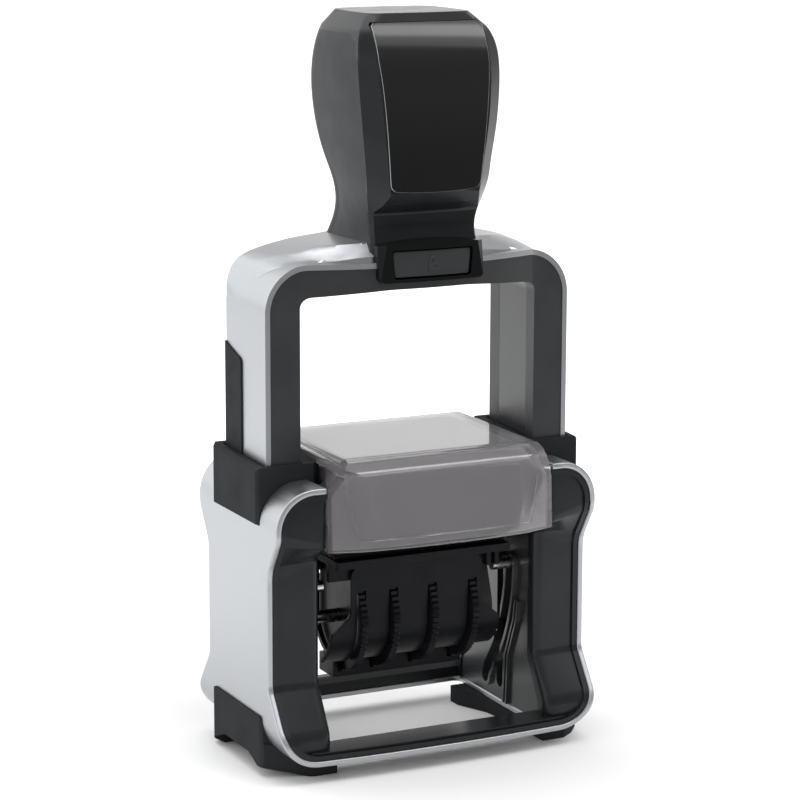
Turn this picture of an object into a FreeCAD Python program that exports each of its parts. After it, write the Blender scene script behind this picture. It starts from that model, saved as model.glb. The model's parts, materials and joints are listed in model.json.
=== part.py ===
"""Self-inking date stamp: steel base, sliding yoke with handle, turning date carriage and ink pad.

Millimetres, +Z up, +X to the user's right, the front faces -Y.
Origin: middle of the footprint, on the surface that the feet stand on.
"""
import FreeCAD, Part
import math
import os
from FreeCAD import Vector

# Steel base band
base_half_width = 38.1
sheet = 1.3
floor_under = 3.8
band_top = 63.9
band_top_radius = 9.0
band_foot_radius = 9.2
edge_bow_radius = 385.0
depth_floor = 24.1
depth_foot = 25.4
depth_waist = 18.05
depth_head = 22.9
foot_peak = 9.5
waist_low = 20.0
waist_high = 45.2
head_low = 53.0
foot_round = 6.0
waist_low_round = 3.5
waist_high_round = 7.0
head_round = 5.0
window_half_depth = 19.9
window_corner = 1.5

# Stroke of the handle and the height of the carriage's axle
stroke = 29.0
plate_reach = 9.3

# Bezels inside the band
bezel_recess = 0.9
bezel_gap = 0.05
rim_width = 1.2
rim_recess = 0.4
rim_depth = 3.0
jamb_roll = 2.2
jamb_foot_tilt = 0.8
jamb_step_low = 47.8
jamb_step_high = 50.4
jamb_step_round = 1.5
jamb_wall = 2.2
bar_top = 7.0
bar_back = 16.4
rear_bar_back = 20.0
rear_bar_edge = 7.4
rear_bar_top = 8.5
rear_bar_slope = 2.0

# Yoke: legs and bow
leg_outer = base_half_width - 2.2
leg_inner = leg_outer - 8.05
leg_front = 11.0
leg_rear = 9.9
bow_sheet = 1.15
bow_top = 109.3
bow_inner_top = bow_top - 7.1
bow_outer_radius = 10.0
bow_inner_radius = 2.4
bow_arch_half = 9.0
bow_arch_rise = 1.25
bow_arch_round = 60.0
bow_front_reach = 16.3
bow_front_radius = 105.0
leg_floor_gap = 0.3
trim_setback = 0.2
trim_front_depth = 3.7
trim_rear_depth = 4.9
rail_top = bow_top - 19.7
rail_width = 8.6
rail_proud = 0.4
rail_sink = 1.1

# Crown: distance in from the leg's outer face, then strip (y, z), crest (y, z) and rear height;
# the heights are above the bow's top
crown_stations = (
    (23.6, -14.3, 1.2, -11.2, 3.9, 3.6),
    (17.9, -12.6, 0.6, -8.0, 3.2, 3.0),
    (11.9, -10.4, 0.0, -4.0, 2.0, 2.1),
    (5.5, -6.2, -1.0, 1.0, -0.1, 0.5),
    (2.3, -2.0, -3.5, 4.5, -2.3, -1.3),
    (0.1, 2.0, -9.3, 6.5, -8.3, -6.3),
)

# Smoked pad cover
cover_wall = 1.2
cover_low = 50.0
cover_rear_low = 57.7
cover_shoulder_half = base_half_width - 11.4
cover_shoulder_low = 62.6
cover_top_half = cover_shoulder_half - 5.2
cover_neck_half = cover_shoulder_half - 3.8
cover_gap_half = cover_shoulder_half + 0.15
cover_crest = band_top + 5.4
cover_front_reach = 25.6
cover_brow_reach = 24.0
cover_brow = 66.5
cover_lid_front = 20.6
cover_lid_rear = 14.6
cover_rear_reach = 21.6
cover_rear_brow = 61.5
cover_bow_radius = 150.0
cover_fit = 0.35
cover_return = 16.5
cover_seat = 0.12
cheek_top_half = cover_shoulder_half - 3.2
cheek_low_half = cover_shoulder_half - 6.3
cheek_sink = 0.8

# Collars
collar_half_depth = 12.15
collar_face = base_half_width + 0.5
collar_low = band_top - 8.8
collar_top_front = band_top + 3.3
collar_top_rear = band_top + 4.4
collar_inner = cover_neck_half + 0.3
collar_sleeve_low = band_top - 5.7
collar_fit = 0.12
collar_chamfer = 0.75
collar_scoop_radius = 60.0
collar_scoop = 0.45
collar_cut_back = 2.4
collar_funnel = 0.5

# Side walls and the motion they guide
wall_thickness = 1.75
wall_inner = leg_inner - wall_thickness - 0.1
wall_half_depth = 13.2
wall_top = band_top - 6.4
axle_radius = 1.25
axle_fit = 0.05
slot_clearance = 0.12
cam_pin_radius = 1.2
cam_pin_reach = 5.5
cam_groove_depth = 1.2
cam_clearance = 0.25
cam_rib = 0.9
cam_rib_proud = 0.8
guide_rib_half = 0.3
guide_rib_gap = 1.3
jamb_half = wall_inner - 0.3
window_half_width = wall_inner - 0.2

# Carriage
arm_outer = wall_inner - 4.0
arm_thickness = 1.3
arm_front = 15.0
arm_top_drop = 2.3
hub_radius = 3.2
hub_gap = 0.35
drum_drop = 8.6
drum_cover_radius = 10.3
cover_sheet = 1.1
cover_half_width = arm_outer - 6.15
cover_roll_half = arm_outer - 1.5
cover_top = 43.0
cover_step = 30.4
roll_end_angle = 62.0
guard_half_width = arm_outer - 6.4
guard_front = -0.5
guard_back = 7.0
guard_low_drop = 14.1
wheel_radius = 12.5
wheel_teeth = 60
tooth_depth = 0.5
wheel_thickness = 1.5
wheel_slot = 2.1
wheel_gap = 0.3
wheel_places = (-13.4, -5.7, 3.7, 13.5)
slot_top = 36.9
pulley_radius = 8.0
pulley_fit = 0.3
shaft_radius = 1.5
shaft_fit = 0.05
band_thickness = 0.8
band_widths = (5.6, 7.4, 7.8, 4.6)
band_side_gap = 0.25
bridge_half = 2.2
plate_half_width = arm_outer - 1.5
plate_half_depth = 12.0
die_thickness = 1.3
plate_thickness = 0.9
deck_thickness = 1.7

# Ink pad
pad_gap = 0.5
tray_half_width = wall_inner - 0.9
tray_half_depth = 19.6
tray_height = 6.4
tray_base = 0.7
tray_grip = 2.0
pad_half_width = tray_half_width - 2.8
pad_half_depth = 14.2
pad_thickness = 3.6
ledge_reach = 1.4
ledge_thickness = 1.3
ledge_gap = 0.15

# Feet
foot_face = base_half_width + 0.45
foot_half = 13.4
foot_wrap_top = floor_under + 9.5
foot_wrap_corner = 1.6
foot_pad_reach = 17.5
foot_pad_outer = base_half_width - 5.1
foot_pad_inner = base_half_width - 10.5
foot_tongue = foot_pad_inner - 5.0
foot_side_low = 2.2
foot_arch = 1.7
foot_chamfer = 0.8

# Springs and rods in the legs
spring_place = (leg_inner + leg_outer) / 2 - 0.3
spring_bore = 2.6
spring_radius = 2.1
spring_wire = 0.7
rod_radius = 1.2

# Lock housing and button
housing_half = 12.3
housing_low = bow_top - 4.2
housing_top = bow_top + 3.6
housing_crown = 1.3
housing_crown_round = 80.0
housing_front = 17.5
housing_back = 9.0
housing_chamfer = 1.6
button_half_top = 9.2
button_half_low = 8.7
button_low = bow_top - 3.2
button_high = bow_top + 2.3
button_gap = 0.3
button_recess = 0.45
button_depth = 4.2
button_travel = 2.0

# Handle sections: height above the bow's top, front, ridge half width, ridge front, rear half width, rear
handle_sections = (
    (1.3, 17.2, 13.0, 13.0, 13.4, 14.2),
    (4.6, 17.4, 12.4, 12.4, 12.6, 12.2),
    (9.6, 17.7, 12.8, 12.4, 12.5, 9.2),
    (13.4, 18.0, 13.7, 13.7, 12.9, 8.5),
    (19.7, 18.4, 14.6, 14.9, 14.1, 10.8),
    (27.7, 18.7, 15.6, 15.5, 15.4, 13.6),
    (35.7, 18.4, 16.3, 15.4, 16.1, 14.3),
    (41.7, 17.4, 16.4, 14.8, 16.3, 13.2),
    (48.4, 14.3, 14.7, 12.2, 15.0, 11.3),
)
ridge_inset = 3.6
face_bulge = 0.7
side_bulge = 0.35
crest_height = 51.5
crest_half = 11.8
crest_inset = 1.6
crest_front = 11.0
crest_rear = 10.4
grip_seam_top = bow_top + 47.4
grip_inner = 9.0
label_half_top = 12.9
label_half_low = 10.5
label_low = bow_top + 14.6
label_high = bow_top + 49.8
label_sag = 0.5
window_thickness = 1.1
card_thickness = 0.5

# Undercut between the handle's lip and the lock housing: (y, height above the bow's top, rounding)
neck_outline = (
    (-14.0, 1.0, 0.0), (-12.9, 6.7, 5.0), (-13.4, 10.3, 1.6), (-16.0, 12.0, 1.0), (-19.6, 16.0, 0.0),
    (-40.0, 16.0, 0.0), (-40.0, 1.0, 0.0),
)

# Derived heights
floor_top = floor_under + sheet
axle_height = stroke + plate_reach
plate_face = axle_height + plate_reach
drum_height = axle_height - drum_drop
leg_foot = floor_top + stroke + 0.9
bulge_low = collar_top_rear + stroke + 1.2
rod_collar_top = floor_top + 4.5
rod_top = leg_foot + 5.0
spring_top = leg_foot + 35.0
big = 200.0


def place(plane, u, v, at):
    """Point from plane coordinates: XZ and YZ are upright, XY is level."""
    if plane == "XZ":
        return Vector(u, at, v)
    if plane == "YZ":
        return Vector(at, u, v)
    return Vector(u, v, at)


def normal(plane, length):
    """Extrusion vector square to a plane."""
    return {"XZ": Vector(0, length, 0), "YZ": Vector(length, 0, 0), "XY": Vector(0, 0, length)}[plane]


def outline(points, plane, at):
    """Closed wire through (u, v) or (u, v, radius) corners, rounded by tangent arcs."""
    count = len(points)
    spans = []
    for i, point in enumerate(points):
        u, v = point[0], point[1]
        radius = point[2] if len(point) > 2 else 0.0
        if radius == 0.0:
            spans.append(((u, v), None, (u, v)))
            continue
        before = points[i - 1]
        after = points[(i + 1) % count]
        au, av = before[0] - u, before[1] - v
        bu, bv = after[0] - u, after[1] - v
        al, bl = math.hypot(au, av), math.hypot(bu, bv)
        au, av, bu, bv = au / al, av / al, bu / bl, bv / bl
        half = math.acos(max(-1.0, min(1.0, au * bu + av * bv))) / 2
        reach = radius / math.tan(half)
        mu, mv = au + bu, av + bv
        ml = math.hypot(mu, mv)
        rise = radius / math.sin(half) - radius
        middle = (u + mu / ml * rise, v + mv / ml * rise)
        spans.append(((u + au * reach, v + av * reach), middle, (u + bu * reach, v + bv * reach)))
    edges = []
    for i, (start, middle, end) in enumerate(spans):
        if middle is not None:
            corners = [place(plane, *p, at) for p in (start, middle, end)]
            edges.append(Part.Arc(*corners).toShape())
        following = spans[(i + 1) % count][0]
        if math.hypot(following[0] - end[0], following[1] - end[1]) > 1e-6:
            edges.append(Part.makeLine(place(plane, *end, at), place(plane, *following, at)))
    return Part.Wire(edges)


def prism(points, plane, low, high):
    """Solid with a rounded-corner outline, from low to high along the plane's normal."""
    return Part.Face(outline(points, plane, low)).extrude(normal(plane, high - low))


def block(x0, x1, y0, y1, z0, z1):
    """Box between two corners."""
    return Part.makeBox(x1 - x0, y1 - y0, z1 - z0, Vector(x0, y0, z0))


def rod_x(y, z, radius, x0, x1):
    """Cylinder along X."""
    return Part.makeCylinder(radius, x1 - x0, Vector(x0, y, z), Vector(1, 0, 0))


def rod_z(x, y, radius, z0, z1):
    """Cylinder along Z."""
    return Part.makeCylinder(radius, z1 - z0, Vector(x, y, z0), Vector(0, 0, 1))


def mirror_x(shape):
    """Left-right twin of a shape."""
    return shape.mirror(Vector(0, 0, 0), Vector(1, 0, 0))


def mirror_y(shape):
    """Front-rear twin of a shape."""
    return shape.mirror(Vector(0, 0, 0), Vector(0, 1, 0))


def half_space(p1, p2, p3, inside):
    """Large solid on the far side of the plane through three points, seen from the point inside."""
    p1, p2, p3 = Vector(*p1), Vector(*p2), Vector(*p3)
    away = (p2 - p1).cross(p3 - p1).normalize()
    if away.dot(Vector(*inside) - p1) > 0:
        away = away * -1
    solid = Part.makeBox(big, big, big, Vector(-big / 2, -big / 2, 0))
    turn = FreeCAD.Rotation(Vector(0, 0, 1), away)
    solid.Placement = FreeCAD.Placement(p1, turn)
    return solid


def belt(circles, plane, at):
    """Wire round circles (u, v, radius), listed anticlockwise, like a belt over pulleys."""
    count = len(circles)
    leaves = []
    for i in range(count):
        u0, v0, r0 = circles[i]
        u1, v1, r1 = circles[(i + 1) % count]
        span = math.hypot(u1 - u0, v1 - v0)
        heading = math.atan2(v1 - v0, u1 - u0)
        lean = heading - math.acos((r0 - r1) / span)
        leaves.append(lean)
    edges = []
    for i in range(count):
        u, v, r = circles[i]
        first, last = leaves[i - 1], leaves[i]
        while last < first:
            last += 2 * math.pi
        ring = [(u + r * math.cos(a), v + r * math.sin(a)) for a in (first, (first + last) / 2, last)]
        edges.append(Part.Arc(*[place(plane, *p, at) for p in ring]).toShape())
        u1, v1, r1 = circles[(i + 1) % count]
        start = (u + r * math.cos(leaves[i]), v + r * math.sin(leaves[i]))
        end = (u1 + r1 * math.cos(leaves[i]), v1 + r1 * math.sin(leaves[i]))
        edges.append(Part.makeLine(place(plane, *start, at), place(plane, *end, at)))
    return Part.Wire(Part.__sortEdges__(edges))


def side_profile(inset):
    """Half of the base's waisted side view as corners (y, z, radius), inset from the steel's edge."""
    floor, foot, waist, head = (-(d - inset) for d in (depth_floor, depth_foot, depth_waist, depth_head))
    low, high = -5.0, band_top + 10.0
    return [(0.0, low), (floor, low), (floor, floor_under), (foot, foot_peak, foot_round),
            (waist, waist_low, waist_low_round), (waist, waist_high, waist_high_round),
            (head, head_low, head_round), (head, high), (0.0, high)]


def base_slab(inset):
    """Space between the base's bowed front and rear faces, inset from the steel's edges."""
    face = Part.Face(outline(side_profile(inset), "YZ", 0.0))
    pivot = edge_bow_radius - depth_foot
    sweep = math.degrees(math.asin((base_half_width + 2.0) / pivot)) + 0.5
    face.rotate(Vector(0, pivot, 0), Vector(0, 0, 1), -sweep)
    front = face.revolve(Vector(0, pivot, 0), Vector(0, 0, 1), 2 * sweep)
    front = front.common(block(-big, big, -big, 0.5, -big, big))
    return front.fuse(mirror_y(front)).removeSplitter()


def band_ring(inset, low, high):
    """Rounded rectangle of the base in front view, inset from the steel's outer face."""
    half = base_half_width - inset
    foot = floor_under + inset
    top = band_top - inset
    top_r, foot_r = band_top_radius - inset, band_foot_radius - inset
    points = [(-half, foot, foot_r), (half, foot, foot_r), (half, top, top_r), (-half, top, top_r)]
    return prism(points, "XZ", low, high)


def collar_pocket():
    """Room in the band's top corners that the collars fill."""
    return block(cover_gap_half - 4.0, big, -collar_half_depth - bezel_gap, collar_half_depth + bezel_gap,
                 collar_low - bezel_gap, big)


def steel_shell():
    """Steel band: closed below with the print window, open on top between the collars."""
    shell = band_ring(0.0, -big / 2, big / 2).cut(band_ring(sheet, -big / 2, big / 2))
    shell = shell.common(base_slab(0.0))
    shell = shell.cut(block(-cover_gap_half, cover_gap_half, -big, big, band_top - 5.0, big))
    pocket = collar_pocket()
    shell = shell.cut(pocket).cut(mirror_x(pocket))
    w, d, corner = window_half_width, window_half_depth, window_corner
    window = [(-w, -d, corner), (w, -d, corner), (w, d, corner), (-w, d, corner)]
    return shell.cut(prism(window, "XY", 0.0, floor_top + 0.5))


def jamb_profile(x, setback, share):
    """Closed YZ outline of a bezel's jamb at one x; share runs from 0 at the steel to 1 at the inner edge."""
    bow = x ** 2 / (2 * edge_bow_radius)
    inset = bezel_recess + bow + setback
    tilt = share * jamb_foot_tilt
    floor, foot = -depth_floor + inset + tilt, -depth_foot + inset + tilt
    waist, head = -depth_waist + inset, -depth_head + inset
    step_low = waist_high + share * (jamb_step_low - waist_high)
    step_high = head_low + share * (jamb_step_high - head_low)
    low_round = waist_high_round + share * (jamb_step_round - waist_high_round)
    high_round = head_round + share * (jamb_step_round - head_round)
    low, high = floor_top + bezel_gap, band_top - sheet - bezel_gap
    back, back_foot, back_head = jamb_back()
    points = [(floor, low), (foot, foot_peak, foot_round), (waist, waist_low, waist_low_round),
              (waist, step_low, low_round), (head, step_high, high_round), (head, high),
              (back_head, high), (back_head, jamb_step_high + 3.6), (back, jamb_step_low + jamb_step_round),
              (back, waist_low - 1.0), (back_foot, foot_peak), (back_foot, low)]
    return outline(points, "YZ", x)


def jamb_back():
    """Y of the jamb's back at the waist, the foot and the head: one surface for its whole width."""
    bow = jamb_half ** 2 / (2 * edge_bow_radius)
    inset = bezel_recess + bow + jamb_roll + jamb_wall
    return -(wall_half_depth + bezel_gap), -(depth_foot - inset - jamb_foot_tilt), -(depth_head - inset + 0.6)


def right_jamb():
    """Side of a bezel: a face that follows the steel's edge and rolls over at its inner edge."""
    edge = base_half_width - sheet - bezel_gap
    wires = [jamb_profile(edge, 0.0, 0.0)]
    for turn in (90, 60, 30, 0):
        x = jamb_half + jamb_roll * (1 - math.cos(math.radians(turn)))
        setback = jamb_roll * (1 - math.sin(math.radians(turn)))
        wires.append(jamb_profile(x, setback, (edge - x) / (edge - jamb_half)))
    return Part.makeLoft(wires, True, True)


def bezel_rim():
    """Proud rim of a bezel along the steel's inner face."""
    outer, inner = sheet + bezel_gap, sheet + bezel_gap + rim_width
    ring = band_ring(outer, -big / 2, -8.0).cut(band_ring(inner, -big / 2, 0.0))
    return ring.common(base_slab(rim_recess)).cut(base_slab(rim_recess + rim_depth))


def bezel(bar):
    """Black frame inside the band's front edge: two flared jambs, a rim and a bottom bar."""
    jamb = right_jamb()
    wall_room = block(wall_inner - bezel_gap, big, jamb_back()[1], 0.0, 0.0, waist_low / 2)
    bar = bar.cut([wall_room, mirror_x(wall_room)])
    frame = jamb.fuse([mirror_x(jamb), bar.common(base_slab(bezel_recess))])
    frame = frame.common(band_ring(sheet + bezel_gap, -big / 2, big / 2))
    frame = frame.fuse(bezel_rim()).cut(cover_form(-cover_seat))
    pocket = collar_pocket()
    return frame.cut(pocket).cut(mirror_x(pocket)).removeSplitter()


def front_bezel():
    """Front frame, with a level bottom bar over the window's edge."""
    reach = base_half_width - 7.0
    return bezel(block(-reach, reach, -big, -bar_back, floor_top + bezel_gap, bar_top))


def rear_bezel():
    """Rear frame, whose bottom bar slopes up from the window's edge."""
    reach = base_half_width - 7.0
    low = floor_top + bezel_gap
    back, front = -rear_bar_back, -rear_bar_back - rear_bar_slope
    points = [(back, low), (back, rear_bar_edge), (front, rear_bar_top), (-big / 4, rear_bar_top), (-big / 4, low)]
    return mirror_y(bezel(prism(points, "YZ", -reach, reach)))


def leg_hole(fit):
    """Passage for a right leg with its outer rail, in plan."""
    lane = block(leg_inner - fit, leg_outer + fit, -leg_front - fit, leg_rear + fit, 0.0, big)
    rail_edge = leg_outer + rail_proud + fit
    rail = block(leg_outer - 1.0, rail_edge, leg_rear - rail_width - fit, leg_rear + fit, 0.0, big)
    return lane.fuse(rail)


def collar_funnel_form():
    """Widened mouth round the leg's passage at the collar's top."""
    wires = []
    wide = collar_fit + collar_funnel
    for grow, height in ((collar_fit, collar_top_front - 0.8), (wide, collar_top_rear + 0.1)):
        x0, x1 = leg_inner - grow, leg_outer + rail_proud + grow
        y0, y1 = -leg_front - grow, leg_rear + grow
        wires.append(outline([(x0, y0), (x1, y0), (x1, y1), (x0, y1)], "XY", height))
    return Part.makeLoft(wires, True, True)


def right_collar():
    """Guide at a top corner: outer cheek, sleeve round the leg, scooped front and an inner tab cut back."""
    face, front, rear, low = collar_face, -collar_half_depth, collar_half_depth, collar_low
    cheek = base_half_width - sheet - bezel_gap
    points = [(face, low), (face, collar_top_rear + 1.0), (collar_inner, collar_top_rear + 1.0),
              (collar_inner, band_top + 0.1), (wall_inner - 0.2, band_top - sheet - 1.2),
              (wall_inner - 0.2, collar_sleeve_low), (cheek, collar_sleeve_low), (cheek, low)]
    body = prism(points, "XZ", front, rear)
    top_front, top_rear = collar_top_front, collar_top_rear
    inside = ((face + collar_inner) / 2, 0, low)
    chamfer, cut_back = collar_chamfer, collar_cut_back
    cuts = [half_space((0, front, top_front), (10, front, top_front), (0, rear, top_rear), inside),
            half_space((face, front, top_front - chamfer), (face - chamfer, front, top_front),
                       (face, rear, top_rear - chamfer), inside)]
    for side in (front, rear):
        inward = -1.0 if side > 0 else 1.0
        cuts.append(half_space((face, side + inward * chamfer, low), (face - chamfer, side, low),
                               (face, side + inward * chamfer, low + 1.0), inside))
        cuts.append(half_space((collar_inner, side + inward * cut_back, low), (collar_inner + cut_back, side, low),
                               (collar_inner, side + inward * cut_back, low + 1.0), inside))
    middle = (face + leg_inner) / 2 - 1.5
    scoop = rod_z(middle, front - collar_scoop_radius + collar_scoop, collar_scoop_radius, low - 1.0, big)
    return body.cut(cuts).cut([scoop, leg_hole(collar_fit), collar_funnel_form()])


def cam_point(angle, offset):
    """Point of the cam track at a carriage angle, moved sideways by an offset: the pin's exact path."""
    y = -cam_pin_reach * math.cos(angle)
    z = axle_height - stroke * angle / math.pi - cam_pin_reach * math.sin(angle)
    dy = cam_pin_reach * math.sin(angle)
    dz = -stroke / math.pi - cam_pin_reach * math.cos(angle)
    size = math.hypot(dy, dz)
    return Vector(0, y - dz / size * offset, z + dy / size * offset)


def cam_track(half_width, x0, x1):
    """Curved slot that follows the cam pin from rest to a full press, with round ends."""
    steps = 14
    angles = [math.pi * i / steps for i in range(steps + 1)]
    left, right = Part.BSplineCurve(), Part.BSplineCurve()
    left.interpolate([cam_point(a, half_width) for a in angles])
    right.interpolate([cam_point(a, -half_width) for a in reversed(angles)])
    slope_end = cam_point(math.pi, 0.0) - cam_point(math.pi - 0.02, 0.0)
    slope_start = cam_point(0.0, 0.0) - cam_point(0.02, 0.0)
    ends = []
    for angle, slope, first, last in ((math.pi, slope_end, half_width, -half_width),
                                      (0.0, slope_start, -half_width, half_width)):
        tip = cam_point(angle, 0.0) + slope.normalize() * half_width
        ends.append(Part.Arc(cam_point(angle, first), tip, cam_point(angle, last)).toShape())
    wire = Part.Wire([left.toShape(), ends[0], right.toShape(), ends[1]])
    solid = Part.Face(wire).extrude(Vector(x1 - x0, 0, 0))
    solid.translate(Vector(x0, 0, 0))
    return solid


def guide_rib(shift):
    """Thin S-shaped rib on the right wall, in front of the cam track."""
    half = guide_rib_half
    line = [(-8.2, axle_height - 8.0, 0.0), (-7.4, axle_height - 12.8, 2.5), (-3.7, axle_height - 21.8, 2.5),
            (-2.9, floor_under, 0.0)]
    left = [(y - shift - half, z, r) for y, z, r in line]
    right = [(y - shift + half, z, r) for y, z, r in reversed(line)]
    return prism(left + right, "YZ", wall_inner - cam_rib_proud, wall_inner + 0.5)


def right_side_wall():
    """Inner wall: straight slot for the axle, curved cam groove with raised rims, ledge for the pad tray."""
    outer = wall_inner + wall_thickness
    foot_reach = -jamb_back()[1] - bezel_gap
    lead = 4.0
    reach, neck = wall_half_depth, waist_low - 1.0
    points = [(-foot_reach, floor_under), (foot_reach, floor_under), (foot_reach, foot_peak), (reach, neck),
              (reach, wall_top, lead), (-reach, wall_top, lead), (-reach, neck), (-foot_reach, foot_peak)]
    wall = prism(points, "YZ", wall_inner, outer)
    groove_half = cam_pin_radius + cam_clearance
    rim = cam_track(groove_half + cam_rib, wall_inner - cam_rib_proud, wall_inner + 0.5)
    ledge_top = plate_face + pad_gap + tray_base - ledge_gap
    inner = wall_inner - ledge_reach
    ledge = [(inner, ledge_top), (inner, ledge_top - ledge_thickness + 0.6),
             (wall_inner + 0.5, ledge_top - ledge_thickness - 1.0), (wall_inner + 0.5, ledge_top)]
    wall = wall.fuse([rim, prism(ledge, "XZ", -wall_half_depth, wall_half_depth), guide_rib(0.0),
                      guide_rib(guide_rib_gap)])
    wall = wall.cut(cam_track(groove_half, wall_inner - 2.0, wall_inner + cam_groove_depth))
    slot_half = axle_radius + slot_clearance
    low, high = plate_reach - slot_half, axle_height + slot_half
    slot = [(-slot_half, low, slot_half * 0.99), (slot_half, low, slot_half * 0.99),
            (slot_half, high, slot_half * 0.99), (-slot_half, high, slot_half * 0.99)]
    wall = wall.cut(prism(slot, "YZ", wall_inner - 2.0, outer + 1.0))
    return wall.common(band_ring(sheet, -big / 2, big / 2)).removeSplitter()


def cheek_plane(inset):
    """Large solid that slices the cover's right front corner back along a slanted crease."""
    lean = (cover_front_reach - cover_brow_reach) / (cover_brow - cover_low)

    def skin(x, z, sink):
        reach = cover_front_reach - lean * (z - cover_low) - x ** 2 / (2 * cover_bow_radius)
        return x, sink + inset - reach, z

    outer = cover_shoulder_half
    return half_space(skin(cheek_top_half, cover_brow - 1.0, 0.0), skin(cheek_low_half, cover_low + 1.9, 0.0),
                      skin(outer, cover_low + 8.0, cheek_sink), (0, 0, cover_low))


def cover_form(inset):
    """Outer form of the smoked cover, inset on every side."""
    neck = cover_neck_half - inset
    shoulder = cover_shoulder_half - inset
    top_half = cover_top_half - inset
    crest = cover_crest - inset
    low = cover_low - 5.0 * (inset > 0)
    front_view = [(-shoulder, low), (shoulder, low), (shoulder, cover_shoulder_low - inset / 2, 2.0),
                  (cover_neck_half - inset, cover_brow - inset, 3.0), (top_half, crest, 1.4),
                  (-top_half, crest, 1.4), (-cover_neck_half + inset, cover_brow - inset, 3.0),
                  (-shoulder, cover_shoulder_low - inset / 2, 2.0)]
    body = prism(front_view, "XZ", -big / 4, big / 4)
    rear_low = cover_rear_low - 5.0 * (inset > 0)
    side_view = [(-cover_front_reach + inset, low), (-cover_return, low), (-cover_return, rear_low),
                 (cover_rear_reach - inset, rear_low), (cover_rear_reach - inset, cover_rear_brow, 3.0),
                 (cover_lid_rear - inset / 2, crest, 3.0), (-cover_lid_front + inset / 2, crest, 3.0),
                 (-cover_brow_reach + inset, cover_brow - inset / 2, 2.0)]
    body = body.common(prism(side_view, "YZ", -big / 4, big / 4))
    centre = cover_bow_radius - cover_front_reach
    bowed = rod_z(0.0, centre, cover_bow_radius - inset, 0.0, big)
    body = body.common(bowed)
    waist = collar_half_depth + 0.3 + inset
    side = block(neck, big, -waist, waist, 0.0, big)
    cheek = cheek_plane(inset)
    return body.cut([side, mirror_x(side), cheek, mirror_x(cheek)])


def pad_cover():
    """Smoked clear cap over the pad housing, open below."""
    return cover_form(0.0).cut(cover_form(cover_wall))


def pad_housing():
    """Roof and front wall under the smoked cover, with room for the pad tray."""
    body = cover_form(cover_wall + cover_fit)
    roof = plate_face + pad_gap + tray_height + 1.0
    wall = 1.6
    hollow = cover_form(cover_wall + cover_fit + wall)
    front = block(-big, big, -big, -tray_half_depth - 0.6, cover_low + 0.3, big)
    top = block(-big, big, -big, big, roof, big)
    keep = body.common(front.fuse(top))
    keep = keep.cut(hollow.common(block(-big, big, -big, big, roof + wall, big)))
    return keep.removeSplitter()


def right_foot():
    """Foot under one side: wrapped side with a rounded top, arched between its pads, tongue at one end."""
    face, half, reach, low = foot_face, foot_half, foot_pad_reach, foot_side_low
    inner = foot_pad_inner
    plan = [(face, -half), (foot_pad_outer, -reach), (inner, -reach), (inner - 0.6, -2.0, 6.0),
            (inner - 1.6, 6.0, 6.0), (foot_tongue, reach - 3.5), (foot_tongue, reach), (inner, reach), (face, half)]
    pad = prism(plan, "XY", 0.0, foot_wrap_top + 5.0).cut(band_ring(-0.02, -big / 2, big / 2))
    corner = foot_wrap_corner
    wide, top = half + 5.0, foot_wrap_top
    side = [(-wide, -1.0), (wide, -1.0), (wide, 5.0), (half, 7.5), (half, top, corner), (-half, top, corner),
            (-half, 7.5), (-wide, 5.0)]
    pad = pad.common(prism(side, "YZ", 0.0, big))
    arch = [(-half + 1.5, -1.0), (-half + 1.5, low - 0.4), (-half + 6.5, low + foot_arch, 6.0),
            (half - 6.5, low + foot_arch, 6.0), (half - 1.5, low - 0.4), (half - 1.5, -1.0)]
    pad = pad.cut(prism(arch, "YZ", foot_pad_inner + 1.0, big))
    inside = (0, 0, 10)
    front_rise = half_space((foot_pad_outer + 3.0, -reach, 0.0), (foot_pad_outer + 3.6, 0.0, 0.0),
                            (face, -half, low * 0.6), inside)
    rear_rise = half_space((inner + 1.0, reach, 0.0), (foot_pad_outer - 1.0, 0.0, 0.0), (face, half, low), inside)
    front_half = block(-big, big, -big, 0.0, -big / 2, big / 2)
    rear_half = block(-big, big, 0.0, big, -big / 2, big / 2)
    pad = pad.cut([front_rise.common(front_half), rear_rise.common(rear_half)])
    edge = foot_chamfer
    for y, inward in ((-half, 1.0), (half, -1.0)):
        pad = pad.cut(half_space((face, y + inward * edge, 0.0), (face - edge, y - inward * 0.6, 0.0),
                                 (face, y + inward * edge, 1.0), (0, 0, 5)))
    return pad.common(block(0.0, face, -big, big, 0.0, big)).removeSplitter()


def bow_outline(inset, low):
    """Front view of the bow's outer face as corners, inset from it."""
    half = leg_outer - inset
    return [(-half, low), (-half, bow_top - inset, bow_outer_radius - inset),
            (half, bow_top - inset, bow_outer_radius - inset), (half, low)]


def bow_plan(setback, rear):
    """Plan of the bow from leg foot to top: straight at the legs, bulging forward between them."""
    front = -leg_front + setback
    centre = bow_front_radius - bow_front_reach
    reach = math.sqrt(bow_front_radius ** 2 - (centre + leg_front) ** 2)
    circle = rod_z(0.0, centre, bow_front_radius - setback, 0.0, big)
    bulge = circle.common(block(-reach, reach, -big, 0.0, 0.0, big))
    side = [(front, 0.0), (front, bulge_low), (-bow_front_reach - 1.5, bow_inner_top + 1.5),
            (-bow_front_reach - 1.5, big), (0.0, big), (0.0, 0.0)]
    bulge = bulge.common(prism(side, "YZ", -reach, reach))
    return bulge.fuse(block(-big, big, front, rear, 0.0, big))


def leg_foot_form():
    """Space above the base's rounded lower corners when the yoke is pressed right down."""
    half = base_half_width - sheet - leg_floor_gap
    low = floor_top + leg_floor_gap + stroke
    radius = band_foot_radius - sheet - leg_floor_gap
    points = [(-half, low, radius), (half, low, radius), (half, big), (-half, big)]
    return prism(points, "XZ", -big / 4, big / 4)


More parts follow.
